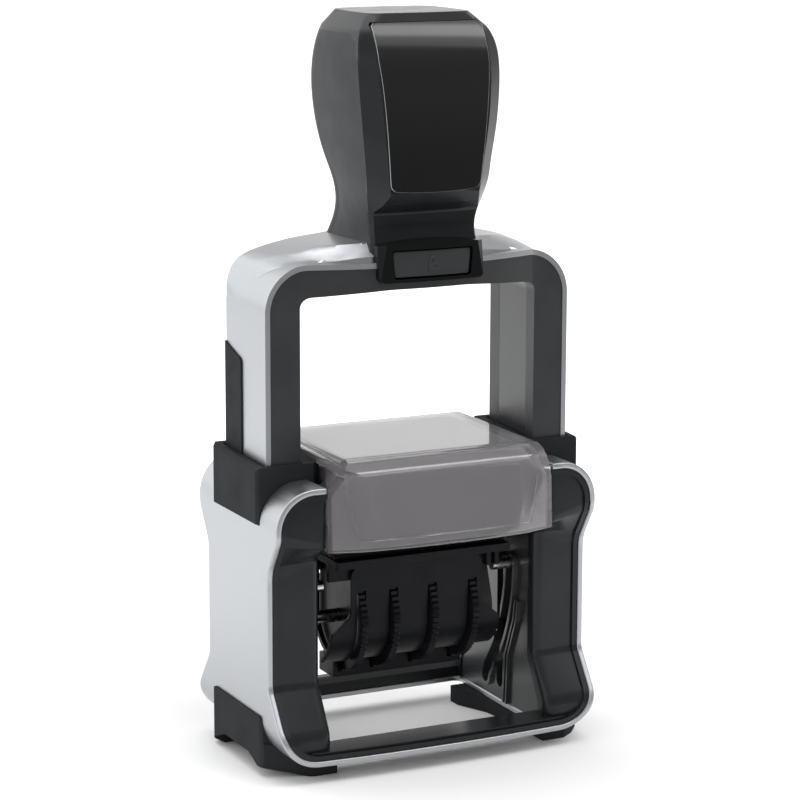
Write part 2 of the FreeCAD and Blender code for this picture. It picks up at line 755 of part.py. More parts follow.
def bow_inner(low):
    """Opening of the black U as corners: upright legs and a slightly arched top."""
    half, top, rise = leg_inner, bow_inner_top, bow_inner_top + bow_arch_rise
    return [(-half, low), (-half, top, bow_inner_radius), (-bow_arch_half, rise, bow_arch_round),
            (bow_arch_half, rise, bow_arch_round), (half, top, bow_inner_radius), (half, low)]


def bow_ring(outer_inset, inner_points, setback, rear):
    """Inverted U between an outline and an opening, with the bow's plan."""
    ring = prism(bow_outline(outer_inset, leg_foot), "XZ", -big / 4, big / 4)
    ring = ring.cut(prism(inner_points, "XZ", -big / 4, big / 4))
    return ring.common(bow_plan(setback, rear)).common(leg_foot_form())


def rail_form():
    """Strip on the rear half of the right leg's outer face."""
    front = leg_rear - rail_width
    face = leg_outer + rail_proud
    points = [(front, leg_foot), (leg_rear, leg_foot), (leg_rear, rail_top + 1.2), (leg_rear - 2.0, rail_top + 0.4),
              (front, rail_top - 1.6, 1.2)]
    return prism(points, "YZ", leg_outer - rail_sink, face).common(leg_foot_form())


def crown_wedge():
    """Raised right half of the bow's crown, from the corner up to the handle, behind a flat front strip."""
    base = bow_top - bow_outer_radius - 2.0
    sections = []
    for inward, foot_y, foot_z, crest_y, crest_z, rear_z in crown_stations:
        points = [(foot_y, base), (leg_rear, base), (leg_rear, bow_top + rear_z), (crest_y, bow_top + crest_z),
                  (foot_y, bow_top + foot_z)]
        sections.append(outline(points, "YZ", leg_outer - inward))
    return Part.makeLoft(sections, True, False)


def bow_band():
    """Steel strip of the yoke, crowned towards the handle."""
    ring = bow_ring(0.0, bow_outline(bow_sheet, leg_foot - 1.0), 0.0, leg_rear)
    wedge = crown_wedge()
    inward, foot_y, foot_z, crest_y, crest_z, rear_z = crown_stations[0]
    half = leg_outer - inward
    middle = block(-half, half, crest_y, leg_rear, bow_top - bow_sheet, bow_top + rear_z)
    ring = ring.fuse([wedge, mirror_x(wedge), middle])
    inner = prism(bow_outline(bow_sheet, 0.0), "XZ", -big / 4, big / 4)
    rail = rail_form()
    return ring.cut([inner, rail, mirror_x(rail), housing_form()]).common(leg_foot_form())


def spring_room():
    """Bore for the return spring up the right leg."""
    return rod_z(spring_place, leg_centre(), spring_bore, leg_foot - 1.0, spring_top)


def leg_centre():
    """Middle of the leg's depth, where the spring stands."""
    return (leg_rear - leg_front) / 2


def bow_channel():
    """Middle of the black U inside the bow, with the spring bores and the axle pins' sockets."""
    front = -leg_front + trim_front_depth
    rear = leg_rear - trim_rear_depth
    ring = bow_ring(bow_sheet, bow_inner(leg_foot - 1.0), 0.0, rear)
    ring = ring.common(block(-big, big, front, rear, 0.0, big))
    bore = spring_room()
    pin = axle_stub()
    rail = rail_form()
    return ring.cut([bore, mirror_x(bore), pin, mirror_x(pin), rail, mirror_x(rail)])


def bow_front_trim():
    """Front frame of the black U, cut out for the lock housing."""
    ring = bow_ring(bow_sheet, bow_inner(leg_foot - 1.0), trim_setback, leg_rear)
    ring = ring.common(block(-big, big, -big, -leg_front + trim_front_depth, 0.0, big))
    bore = spring_room()
    return ring.cut([bore, mirror_x(bore), housing_form()])


def bow_rear_trim():
    """Rear frame of the black U."""
    ring = bow_ring(bow_sheet, bow_inner(leg_foot - 1.0), 0.0, leg_rear - trim_setback)
    ring = ring.common(block(-big, big, leg_rear - trim_rear_depth, big, 0.0, big))
    bore = spring_room()
    rail = rail_form()
    return ring.cut([bore, mirror_x(bore), rail, mirror_x(rail)])


def axle_stub():
    """Right axle pin, from its socket in the leg to the carriage's arm."""
    return rod_x(0.0, axle_height, axle_radius, arm_outer - arm_thickness, leg_inner + 0.9)


def housing_form():
    """Lock housing's outer form: bowed front, arched top, rounded lower corners and chamfered sides."""
    half, low, top = housing_half, housing_low, housing_top
    points = [(-half, low, 1.4), (half, low, 1.4), (half, top),
              (0.0, top + housing_crown, housing_crown_round), (-half, top)]
    body = prism(points, "XZ", -housing_front - 1.0, -housing_back)
    centre = bow_front_radius - housing_front
    body = body.common(rod_z(0.0, centre, bow_front_radius, 0.0, big))
    inner = half - housing_chamfer
    front = -housing_front + inner ** 2 / (2 * bow_front_radius)
    cut_back = front + housing_chamfer * 0.85
    side = half_space((inner, front, top), (half, cut_back, top), (half, front + 0.3, low), (0, 0, top))
    return body.cut([side, mirror_x(side)])


def button_outline(gap):
    """Tapered outline of the lock button, grown by a gap."""
    return [(-button_half_low - gap, button_low - gap, 0.6), (button_half_low + gap, button_low - gap, 0.6),
            (button_half_top + gap, button_high + gap, 0.6), (-button_half_top - gap, button_high + gap, 0.6)]


def button_form(gap, front, back):
    """Solid of the button's outline between a bowed front and a flat back."""
    body = prism(button_outline(gap), "XZ", -housing_front - 2.0, -back)
    centre = bow_front_radius - front
    return body.common(rod_z(0.0, centre, bow_front_radius, 0.0, big))


def lock_housing():
    """Frame under the handle with the lock button's pocket."""
    pocket_back = housing_front - button_depth - button_travel - 0.5
    return housing_form().cut(button_form(button_gap, housing_front + 1.5, pocket_back))


def lock_button():
    """Push button in the housing, a little sunk below its rim."""
    return button_form(0.0, housing_front - button_recess, housing_front - button_depth)


def handle_section(height, front, ridge_half, ridge_front, rear_half, rear, inset):
    """Level section of the handle: label face, chamfers to the ridges, bulged sides, round back."""
    z = bow_top + height
    face_half = ridge_half - inset
    rear_flat = rear_half * 0.62
    y_turn = rear - 6.0
    f_left, f_right = Vector(-face_half, -front, z), Vector(face_half, -front, z)
    r_left, r_right = Vector(-ridge_half, -ridge_front, z), Vector(ridge_half, -ridge_front, z)
    b_left, b_right = Vector(-rear_half, y_turn, z), Vector(rear_half, y_turn, z)
    e_left, e_right = Vector(-rear_flat, rear - 0.6, z), Vector(rear_flat, rear - 0.6, z)
    mid_y = (y_turn - ridge_front) / 2
    mid_x = (ridge_half + rear_half) / 2 + side_bulge
    turn_x, turn_y = (rear_half + rear_flat) / 2 + 1.25, (y_turn + rear - 0.6) / 2 + 1.05
    return Part.Wire([
        Part.Arc(f_left, Vector(0, -front - face_bulge, z), f_right).toShape(),
        Part.makeLine(f_right, r_right),
        Part.Arc(r_right, Vector(mid_x, mid_y, z), b_right).toShape(),
        Part.Arc(b_right, Vector(turn_x, turn_y, z), e_right).toShape(),
        Part.Arc(e_right, Vector(0, rear, z), e_left).toShape(),
        Part.Arc(e_left, Vector(-turn_x, turn_y, z), b_left).toShape(),
        Part.Arc(b_left, Vector(-mid_x, mid_y, z), r_left).toShape(),
        Part.makeLine(r_left, f_left)])


def handle_form():
    """Whole handle, lofted through its sections, closed by a chamfered crest and undercut below its lip."""
    count = len(handle_sections)
    wires = []
    for i, section in enumerate(handle_sections):
        inset = ridge_inset if i < count - 1 else (ridge_inset + crest_inset) / 2
        wires.append(handle_section(*section, inset))
    body = Part.makeLoft(wires, True, False)
    crest = handle_section(crest_height, crest_front, crest_half, crest_front - 1.6, crest_half, crest_rear,
                           crest_inset)
    cap = Part.makeLoft([wires[-1], crest], True, True)
    neck = prism([(y, bow_top + z, r) for y, z, r in neck_outline], "YZ", -big / 4, big / 4)
    return body.fuse(cap).cut(neck)


def grip_region():
    """Space of the right grip shell: behind the ridge, below the shoulder seam."""
    spine = [(-section[3] + 0.02, bow_top + section[0]) for section in handle_sections[:-1]]
    rear = 20.0
    points = spine + [(-11.8, grip_seam_top - 1.2, 1.0), (-9.0, grip_seam_top), (rear, grip_seam_top),
                      (rear, spine[0][1])]
    return prism(points, "YZ", grip_inner, big)


def label_region(front_shift, back_shift):
    """Skin of the handle's front under the label's outline, between two depths."""
    low_half, top_half = label_half_low, label_half_top
    corner, shoulder = label_low + label_sag, label_high - 8.0
    points = [(-low_half, corner, 1.4), (0.0, label_low, 40.0), (low_half, corner, 1.4),
              (top_half, shoulder, 30.0), (top_half, label_high, 1.0), (-top_half, label_high, 1.0),
              (-top_half, shoulder, 30.0)]
    window = prism(points, "XZ", -big / 4, -6.0)
    body = handle_form()
    outer = body.copy()
    outer.translate(Vector(0, front_shift, 0))
    inner = body.copy()
    inner.translate(Vector(0, back_shift, 0))
    return body.common(window).common(outer).cut(inner)


def spring_sleeve(x, low, high):
    """Return spring as a plain sleeve of its coil's size, closed up in the leg."""
    ring = rod_z(x, leg_centre(), spring_radius + spring_wire / 2, low, high)
    return ring.cut(rod_z(x, leg_centre(), spring_radius - spring_wire / 2, low, high))


def return_spring():
    """Spring in the right leg, from the rod's collar to the end of its bore."""
    return spring_sleeve(spring_place, rod_collar_top, spring_top)


def spring_rod():
    """Rod that stands on the steel floor inside the spring, with a collar under the spring."""
    rod = rod_z(spring_place, leg_centre(), rod_radius, floor_under, rod_top)
    collar = rod_z(spring_place, leg_centre(), spring_bore, floor_under, rod_collar_top)
    return rod.fuse(collar).common(band_ring(sheet, -big / 2, big / 2)).removeSplitter()


def button_spring():
    """Small spring between the lock button and its housing."""
    z = (button_low + button_high) / 2
    front = -housing_front + button_depth
    back = -housing_front + button_depth + button_travel + 0.5
    outer = Part.makeCylinder(1.6, back - front, Vector(0, front, z), Vector(0, 1, 0))
    return outer.cut(Part.makeCylinder(1.1, back - front, Vector(0, front, z), Vector(0, 1, 0)))


def carriage_arm():
    """Right arm of the carriage frame with its hub and bores."""
    top = axle_height + plate_reach - arm_top_drop
    lobe = 7.2
    inner = arm_outer - arm_thickness
    points = [(-arm_front, top, 0.8), (-arm_front + 2.6, top - 5.0, 14.0), (-lobe - 1.2, drum_height, 8.0),
              (-lobe, drum_height - 5.4, 4.2), (0.0, drum_height - 8.6, 4.2), (lobe, drum_height - 5.4, 4.2),
              (lobe + 1.2, drum_height, 8.0), (arm_front - 2.6, top - 5.0, 14.0), (arm_front, top, 0.8)]
    arm = prism(points, "YZ", inner, arm_outer)
    hub = rod_x(0.0, axle_height, hub_radius, inner, wall_inner - cam_rib_proud - hub_gap)
    seat = rod_x(-cam_pin_reach, axle_height, cam_pin_radius + 1.0, inner, arm_outer + 1.6)
    arm = arm.fuse([hub, seat])
    bore = rod_x(0.0, axle_height, axle_radius + axle_fit, inner - 1.0, big)
    pin_hole = rod_x(-cam_pin_reach, axle_height, cam_pin_radius, inner - 1.0, big)
    shaft_hole = rod_x(0.0, drum_height, shaft_radius, inner - 1.0, big)
    slit = [(-12.4, top - 1.8, 0.6), (-11.5, axle_height + 1.0, 6.0), (-9.2, axle_height - 6.6, 0.6),
            (-8.4, axle_height - 2.0, 2.0), (-8.6, axle_height + 3.4, 2.0), (-9.8, top - 1.8, 0.6)]
    lobe_slot = [(-3.4, drum_height - 6.2, 1.0), (-2.2, drum_height - 6.8, 1.0), (-3.6, drum_height - 2.6, 1.0),
                 (-5.0, drum_height - 2.4, 1.0)]
    openings = [prism(points, "YZ", inner - 1.0, arm_outer + 1.0) for points in (slit, lobe_slot)]
    return arm.cut([bore, pin_hole, shaft_hole] + openings)


def date_opening(margin):
    """Lowest and highest X of the opening that the bands pass through."""
    low = wheel_places[0] + wheel_thickness / 2 + band_side_gap - margin
    high = wheel_places[-1] + wheel_thickness / 2 + band_side_gap + band_widths[-1] + margin
    return low, high


def carriage_frame():
    """Two arms joined by the deck under the text plate and a skirt behind the date cover."""
    deck_top = plate_face - die_thickness - plate_thickness
    inner = arm_outer - arm_thickness
    deck = block(-inner, inner, -arm_front + 0.6, arm_front - 0.6, deck_top - deck_thickness, deck_top)
    x0, x1 = date_opening(0.3)
    lane = band_opening() + 1.0
    deck = deck.cut(block(x0, x1, -lane, lane, 0.0, big))
    skirt_face = drum_cover_radius - cover_sheet
    skirt_low = drum_height + wheel_radius - 2.4
    skirt = block(-inner, inner, -skirt_face, -skirt_face + 1.3, skirt_low, deck_top - deck_thickness)
    for x in (-12.0, 10.0):
        notch = Part.makeCylinder(1.9, 8.0, Vector(x, -skirt_face - 3.0, cover_top + 0.1), Vector(0, 1, 0))
        skirt = skirt.cut(notch)
    deck_low = deck_top - deck_thickness
    ribs = [block(x - 0.5, x + 0.5, -skirt_face - 1.6, -skirt_face + 0.5, skirt_low, deck_low)
            for x in (cover_half_width + 1.4, cover_half_width + 3.4)]
    arm = carriage_arm()
    return arm.fuse([mirror_x(arm), deck, skirt, rear_guard(deck_low)] + ribs).removeSplitter()


def roll_point(radius, angle):
    """Point on a circle round the wheels' shaft, from the front (0) down to the bottom (90 degrees)."""
    return Vector(0, -radius * math.cos(angle), drum_height - radius * math.sin(angle))


def rolled_sheet(end_angle, top, half_width):
    """Panel that stands in front of the wheels and rolls under them, as a bent sheet."""
    outer_r, inner_r = drum_cover_radius, drum_cover_radius - cover_sheet
    end = math.radians(end_angle)
    edges = [Part.makeLine(Vector(0, -outer_r, top), Vector(0, -outer_r, drum_height)),
             Part.Arc(*[roll_point(outer_r, a) for a in (0, end / 2, end)]).toShape(),
             Part.makeLine(roll_point(outer_r, end), roll_point(inner_r, end)),
             Part.Arc(*[roll_point(inner_r, a) for a in (end, end / 2, 0)]).toShape(),
             Part.makeLine(Vector(0, -inner_r, drum_height), Vector(0, -inner_r, top)),
             Part.makeLine(Vector(0, -inner_r, top), Vector(0, -outer_r, top))]
    sheet_solid = Part.Face(Part.Wire(edges)).extrude(Vector(2 * half_width, 0, 0))
    sheet_solid.translate(Vector(-half_width, 0, 0))
    return sheet_solid


def wheel_relief(place_x):
    """Room that one turning wheel needs in the panels round it."""
    half = wheel_slot / 2
    return rod_x(0.0, drum_height, wheel_radius + wheel_gap, place_x - half, place_x + half)


def rear_guard(top):
    """Rear panel of the date works with a slotted sill below the wheels."""
    low = drum_height - guard_low_drop
    sill_top = drum_height - drum_cover_radius + 0.4
    sill = block(-guard_half_width, guard_half_width, guard_front, guard_back, low, sill_top)
    sill = sill.cut(rod_x(0.0, drum_height, drum_cover_radius - cover_sheet, -big / 4, big / 4))
    panel = mirror_y(rolled_sheet(88.0, top, guard_half_width))
    outer_r = drum_cover_radius
    wings = block(-arm_outer, arm_outer, outer_r - cover_sheet, outer_r, axle_height - 1.0, top)
    return sill.fuse([panel, wings]).cut([wheel_relief(x) for x in wheel_places])


def band_opening():
    """Half depth of the openings that let the bands through."""
    return bridge_half + 1.2 + 1.2


def text_plate():
    """Carrier plate of the rubber face."""
    top = plate_face - die_thickness
    plate = block(-plate_half_width, plate_half_width, -plate_half_depth, plate_half_depth, top - plate_thickness,
                  top)
    x0, x1 = date_opening(0.3)
    return plate.cut(block(x0, x1, -band_opening(), band_opening(), 0.0, big))


def text_die():
    """Rubber face with raised border and generic rule lines above and below the date window."""
    base_top = plate_face - 0.5
    low = plate_face - die_thickness
    margin = 0.4
    half_x, half_y = plate_half_width - margin, plate_half_depth - margin
    die = block(-half_x, half_x, -half_y, half_y, low, base_top)
    frame = block(-half_x, half_x, -half_y, half_y, base_top - 0.1, plate_face)
    frame = frame.cut(block(-half_x + 0.8, half_x - 0.8, -half_y + 0.8, half_y - 0.8, 0.0, big))
    rules = []
    for y in (-8.6, 8.6):
        rules.append(block(-half_x + 3.0, half_x - 3.0, y - 0.9, y + 0.9, base_top - 0.1, plate_face))
    x0, x1 = date_opening(0.3)
    return die.fuse([frame] + rules).cut(block(x0, x1, -band_opening(), band_opening(), 0.0, big))


def band_circles(offset):
    """Circles that a date band runs round: the pulley and the two bridge edges."""
    edge = 1.2
    inner = pulley_radius + pulley_fit
    lift = plate_face - band_thickness - edge
    return [(0.0, drum_height, inner + offset), (bridge_half - edge + 1.0, lift, edge + offset),
            (-bridge_half + edge - 1.0, lift, edge + offset)]


def date_band(index):
    """Rubber band from its setting wheel over the bridge at the die face."""
    x0 = wheel_places[index] + wheel_thickness / 2 + band_side_gap
    outer = Part.Face(belt(band_circles(band_thickness), "YZ", x0)).extrude(Vector(band_widths[index], 0, 0))
    inner = Part.Face(belt(band_circles(0.0), "YZ", x0)).extrude(Vector(band_widths[index], 0, 0))
    return outer.cut(inner)


def date_bridge():
    """Bar inside the bands at the die face, held in the deck's opening."""
    x0, x1 = date_opening(0.3)
    edge = 1.2
    top = plate_face - band_thickness - 0.05
    half = bridge_half + 0.9
    points = [(-half, top - 3.6), (half, top - 3.6), (half, top, edge), (-half, top, edge)]
    return prism(points, "YZ", x0, x1)


def wheel_rim():
    """Toothed disc outline: fine pointed teeth round a circle."""
    points = []
    pitch = 2 * math.pi / wheel_teeth
    for i in range(wheel_teeth):
        for share, radius in ((0.0, wheel_radius - tooth_depth), (0.5, wheel_radius)):
            a = (i + share) * pitch
            points.append((radius * math.cos(a), drum_height + radius * math.sin(a)))
    return points


def date_wheel(index):
    """Toothed setting wheel with the pulley that carries its band."""
    x = wheel_places[index]
    disc = prism(wheel_rim(), "YZ", x - wheel_thickness / 2, x + wheel_thickness / 2)
    end = x + wheel_thickness / 2 + band_side_gap + band_widths[index]
    pulley = rod_x(0.0, drum_height, pulley_radius, x, end)
    bore = rod_x(0.0, drum_height, shaft_radius + shaft_fit, x - 5.0, end + 5.0)
    return disc.fuse(pulley).cut(bore).removeSplitter()


def band_shaft():
    """Shaft of the setting wheels, held in the arms."""
    return rod_x(0.0, drum_height, shaft_radius, -arm_outer, arm_outer)


def date_cover():
    """Front panel of the date works: flat above, rolled round the wheels below, slotted for them."""
    sheet_solid = rolled_sheet(roll_end_angle, cover_top, cover_roll_half)
    w, r = cover_half_width, cover_roll_half
    outer_r = drum_cover_radius
    low = drum_height - outer_r - 1.0
    front = [(-r, low), (r, low), (r, cover_step - 2.4, 1.6), (w, cover_step + 1.4, 2.4), (w, cover_top, 2.4),
             (-w, cover_top, 2.4), (-w, cover_step + 1.4, 2.4), (-r, cover_step - 2.4, 1.6)]
    sheet_solid = sheet_solid.common(prism(front, "XZ", -outer_r - 1.0, 0.0))
    half = wheel_slot / 2
    for x in wheel_places:
        slot = [(x - half, low - 1.0), (x + half, low - 1.0), (x + half, slot_top, half * 0.95),
                (x - half, slot_top, half * 0.95)]
        sheet_solid = sheet_solid.cut([prism(slot, "XZ", -outer_r - 1.0, 0.0), wheel_relief(x)])
    return sheet_solid


def cam_pins():
    """Pins on the arms that run in the walls' cam tracks."""
    pin = rod_x(-cam_pin_reach, axle_height, cam_pin_radius, arm_outer - arm_thickness,
                wall_inner + cam_groove_depth - 0.2)
    return Part.makeCompound([pin, mirror_x(pin)])


def pad_tray():
    """Tray that holds the felt face down, with a ribbed grip at the rear."""
    low = plate_face + pad_gap + tray_base
    high = plate_face + pad_gap + tray_height
    tray = block(-tray_half_width, tray_half_width, -tray_half_depth, tray_half_depth, low, high)
    hollow = block(-pad_half_width, pad_half_width, -pad_half_depth, pad_half_depth, low - 1.0,
                   plate_face + pad_gap + pad_thickness)
    grip = block(-tray_half_width + 4.0, tray_half_width - 4.0, tray_half_depth - 0.1,
                 tray_half_depth + tray_grip, low, high)
    tray = tray.cut(hollow).fuse(grip)
    for i in range(9):
        x = -16.0 + 4.0 * i
        tray = tray.cut(block(x - 0.6, x + 0.6, tray_half_depth + tray_grip - 0.7, big, low + 1.0, high - 1.0))
    return tray


def ink_pad():
    """Felt block in the tray, facing down to the text plate."""
    low = plate_face + pad_gap
    return block(-pad_half_width, pad_half_width, -pad_half_depth, pad_half_depth, low, low + pad_thickness)


def build():
    """Every node of the stamp by name."""
    handle = handle_form()
    grip_space = grip_region()
    label_window = label_region(0.0, window_thickness)
    label_card = label_region(window_thickness, window_thickness + card_thickness)
    housing = housing_form()
    band = bow_band()
    right_grip = handle.common(grip_space).cut([housing, band])
    left_grip = handle.common(mirror_x(grip_space)).cut([housing, band])
    core = handle.cut([grip_space, mirror_x(grip_space), label_window, label_card, housing, band])

    nodes = {
        "steel_shell": steel_shell(),
        "front_bezel": front_bezel(),
        "rear_bezel": rear_bezel(),
        "right_collar": right_collar(),
        "left_collar": mirror_x(right_collar()),
        "right_side_wall": right_side_wall(),
        "left_side_wall": mirror_x(right_side_wall()),
        "pad_cover": pad_cover(),
        "pad_housing": pad_housing(),
        "right_foot": right_foot(),
        "left_foot": mirror_x(mirror_y(right_foot())),
        "spring_rods": Part.makeCompound([spring_rod(), mirror_x(spring_rod())]),
        "return_springs": Part.makeCompound([return_spring(), mirror_x(return_spring())]),
        "bow_band": band,
        "bow_channel": bow_channel(),
        "bow_front_trim": bow_front_trim(),
        "bow_rear_trim": bow_rear_trim(),
        "right_leg_rail": rail_form(),
        "left_leg_rail": mirror_x(rail_form()),
        "right_axle_pin": axle_stub(),
        "left_axle_pin": mirror_x(axle_stub()),
        "lock_housing": lock_housing(),
        "lock_button": lock_button(),
        "button_spring": button_spring(),
        "handle_core": core,
        "right_grip": right_grip,
        "left_grip": left_grip,
        "label_window": label_window,
        "label_card": label_card,
        "carriage_frame": carriage_frame(),
        "text_plate": text_plate(),
        "text_die": text_die(),
        "date_bridge": date_bridge(),
        "date_cover": date_cover(),
        "band_shaft": band_shaft(),
        "cam_pins": cam_pins(),
        "pad_tray": pad_tray(),
        "ink_pad": ink_pad(),
    }
    for i in range(len(wheel_places)):
        nodes["date_wheel_%d" % (i + 1)] = date_wheel(i)
        nodes["date_band_%d" % (i + 1)] = date_band(i)
    return nodes


def main():
    os.makedirs("parts", exist_ok=True)
    for name, shape in build().items():
        solids = shape.Solids
        if not solids:
            raise RuntimeError("%s has no solid" % name)
        shape = solids[0] if len(solids) == 1 else Part.makeCompound(solids)
        print("%-18s solids %d  volume %9.2f  valid %s" % (name, len(solids), shape.Volume, shape.isValid()))
        shape.exportStep("parts/%s.step" % name)


main()
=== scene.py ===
"""Looks of a self-inking date stamp, laid out as an add-on and run as a script.

Metres, +Z up, +X to the user's right, and the front faces -Y. Colours are sRGB hex values.
"""

import json
import math

import bpy
import numpy
from bpy.props import FloatProperty, FloatVectorProperty, IntProperty, PointerProperty, StringProperty
from mathutils import Matrix, Vector


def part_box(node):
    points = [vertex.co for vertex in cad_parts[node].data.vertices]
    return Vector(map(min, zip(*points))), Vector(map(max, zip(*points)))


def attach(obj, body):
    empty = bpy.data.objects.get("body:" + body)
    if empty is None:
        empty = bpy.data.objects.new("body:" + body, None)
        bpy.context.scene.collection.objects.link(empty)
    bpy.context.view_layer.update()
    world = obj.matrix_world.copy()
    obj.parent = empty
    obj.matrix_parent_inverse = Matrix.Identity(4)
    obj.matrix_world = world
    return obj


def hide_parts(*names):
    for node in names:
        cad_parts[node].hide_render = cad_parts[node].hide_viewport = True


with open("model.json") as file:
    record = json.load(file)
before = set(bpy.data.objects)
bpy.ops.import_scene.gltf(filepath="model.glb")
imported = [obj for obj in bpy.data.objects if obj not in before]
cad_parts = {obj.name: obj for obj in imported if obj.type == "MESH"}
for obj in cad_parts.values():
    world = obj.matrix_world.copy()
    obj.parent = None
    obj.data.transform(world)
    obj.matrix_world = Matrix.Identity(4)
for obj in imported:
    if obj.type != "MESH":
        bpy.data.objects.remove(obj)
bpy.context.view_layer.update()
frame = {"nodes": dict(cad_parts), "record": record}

bl_info = {
    "name": "Date Stamp Looks",
    "version": (1, 0, 0),
    "blender": (4, 5, 0),
    "location": "View3D > Sidebar > Date Stamp",
    "description": "Finishes and fine pieces of a self-inking date stamp round its packed frame",
    "category": "Object",
}

MM = 0.001
SIDES = ("left", "right")
WHITE = (1.0, 1.0, 1.0, 1.0)
BODY_OF = {node: body for body, nodes in frame["record"]["behaviour"]["bodies"].items() for node in nodes}


class StampColours(bpy.types.PropertyGroup):
    """Colours of the stamp's finishes, as sRGB hex values."""
    steel: StringProperty(name="Steel", description="Brushed stainless strip", default="#AFB1B4")
    pin_steel: StringProperty(name="Pins", description="Bright turned steel", default="#C6C8CB")
    black_abs: StringProperty(name="Black ABS", description="Satin moulded frames", default="#2B2D2F")
    matt_abs: StringProperty(name="Matt ABS", description="Textured collars and feet", default="#2B2D2F")
    frame_abs: StringProperty(name="Frame ABS", description="Base frames and handle", default="#1D1F21")
    gloss_abs: StringProperty(name="Gloss ABS", description="Lock housing", default="#0F1011")
    black_acetal: StringProperty(name="Black acetal", description="Inner works", default="#15161A")
    soft_touch: StringProperty(name="Soft touch", description="Coated handle sides", default="#212326")
    window: StringProperty(name="Window", description="Glossy black acrylic", default="#060708")
    # The rim colour is a painted highlight: pale grey on the black acrylic's rounded rim.
    rim: StringProperty(name="Window rim", description="Polished rim of the window", default="#9A9CA0")
    card: StringProperty(name="Card", description="Plain card behind the window", default="#1B1C1F")
    smoke: StringProperty(name="Smoked cover", description="Smoked styrene", default="#D4D1D4")
    housing: StringProperty(name="Pad housing", description="Moulding under the cover", default="#B6B3B6")
    felt: StringProperty(name="Felt", description="Inked pad", default="#101423")
    rubber: StringProperty(name="Rubber", description="Printing rubber", default="#1B1B1D")
    symbol: StringProperty(name="Button sign", description="Raised sign on the button", default="#2E3033")


class StampSizes(bpy.types.PropertyGroup):
    """Sizes of edge rounds and fine pieces."""
    steel_edge: FloatProperty(name="Steel edge", description="Round on the strip's edges", default=0.38 * MM,
                              unit="LENGTH")
    moulded_edge: FloatProperty(name="Moulded edge", description="Round on moulded edges", default=0.22 * MM,
                                unit="LENGTH")
    fine_edge: FloatProperty(name="Fine edge", description="Round on small pieces", default=0.12 * MM,
                             unit="LENGTH")
    seam_edge: FloatProperty(name="Seam edge", description="Round along the handle's seams",
                             default=0.3 * MM, unit="LENGTH")
    cover_edge: FloatProperty(name="Cover edge", description="Round on the smoked cover", default=0.5 * MM,
                              unit="LENGTH")
    rim_edge: FloatProperty(name="Rim edge", description="Round along the window's rim", default=0.13 * MM,
                            unit="LENGTH")
    tooth_edge: FloatProperty(name="Tooth edge", description="Round on the setting wheels' teeth",
                              default=0.06 * MM, unit="LENGTH")
    sign_edge: FloatProperty(name="Sign edge", description="Round on the padlock's edges", default=0.04 * MM,
                             unit="LENGTH")
    crease_line: FloatProperty(name="Crease line", description="Width of the fine lines on the cover",
                               default=0.3 * MM, unit="LENGTH")
    window_thickness: FloatProperty(name="Window", description="Thickness of the window", default=1.0 * MM,
                                    unit="LENGTH")
    edge_segments: IntProperty(name="Segments", description="Steps across a rounded edge", default=2, min=1,
                               max=4)
    sign_width: FloatProperty(name="Sign width", description="Width of the padlock's body", default=2.0 * MM,
                              unit="LENGTH")
    sign_height: FloatProperty(name="Sign height", description="Height of the padlock's body",
                               default=1.9 * MM, unit="LENGTH")
    sign_line: FloatProperty(name="Sign line", description="Width of the sign's outline", default=0.32 * MM,
                             unit="LENGTH")
    sign_relief: FloatProperty(name="Sign relief", description="Height of the sign above the button",
                               default=0.12 * MM, unit="LENGTH")


class StudioSettings(bpy.types.PropertyGroup):
    """Floor, lights and camera."""
    floor: StringProperty(name="Floor", description="Floor colour", default="#F6F6F6")
    front_light: FloatProperty(name="Front", description="Brightness of the sky in front", default=0.44)
    back_light: FloatProperty(name="Back", description="Brightness added behind", default=0.75)
    top_light: FloatProperty(name="Top", description="Brightness added overhead", default=0.2)
    left_light: FloatProperty(name="Left", description="Brightness added on the left", default=0.8)
    place: FloatVectorProperty(name="Place", description="Place of the camera", unit="LENGTH",
                               default=(-266.07 * MM, -542.11 * MM, 198.50 * MM))
    focal_length: FloatProperty(name="Focal length", description="Lens in millimetres", default=127.36)
    azimuth: FloatProperty(name="Azimuth", description="Turn of the view", default=math.radians(-26.205),
                           subtype="ANGLE")
    elevation: FloatProperty(name="Elevation", description="Height of the view",
                             default=math.radians(11.437), subtype="ANGLE")
    roll: FloatProperty(name="Roll", description="Roll of the view", default=math.radians(0.159),
                        subtype="ANGLE")


def colours():
    """The stamp's colours as they are set now."""
    return bpy.context.scene.stamp_colours


def sizes():
    """The fine sizes as they are set now."""
    return bpy.context.scene.stamp_sizes


def studio():
    """The studio's settings as they are now."""
    return bpy.context.scene.stamp_studio


def linear(code):
    """Linear RGBA of an sRGB hex colour."""
    channels = [int(code[i:i + 2], 16) / 255 for i in (1, 3, 5)]
    return tuple(c / 12.92 if c <= 0.04045 else ((c + 0.055) / 1.055) ** 2.4 for c in channels) + (1.0,)


def shade(code, factor):
    """The same hex colour, lighter or darker."""
    return "#" + "".join(f"{min(255, round(int(code[i:i + 2], 16) * factor)):02X}" for i in (1, 3, 5))


def add_node(tree, kind, settings=None, **links):
    """A shader node with its settings; each link names an input and the socket or value that it takes."""
    node = tree.nodes.new(kind)
    for name, value in (settings or {}).items():
        setattr(node, name, value)
    for name, source in links.items():
        key = int(name[1:]) if name[0] == "i" and name[1:].isdigit() else name.replace("_", " ")
        socket = node.inputs[key]
        if isinstance(source, bpy.types.NodeSocket):
            tree.links.new(source, socket)
        else:
            socket.default_value = source
    return node


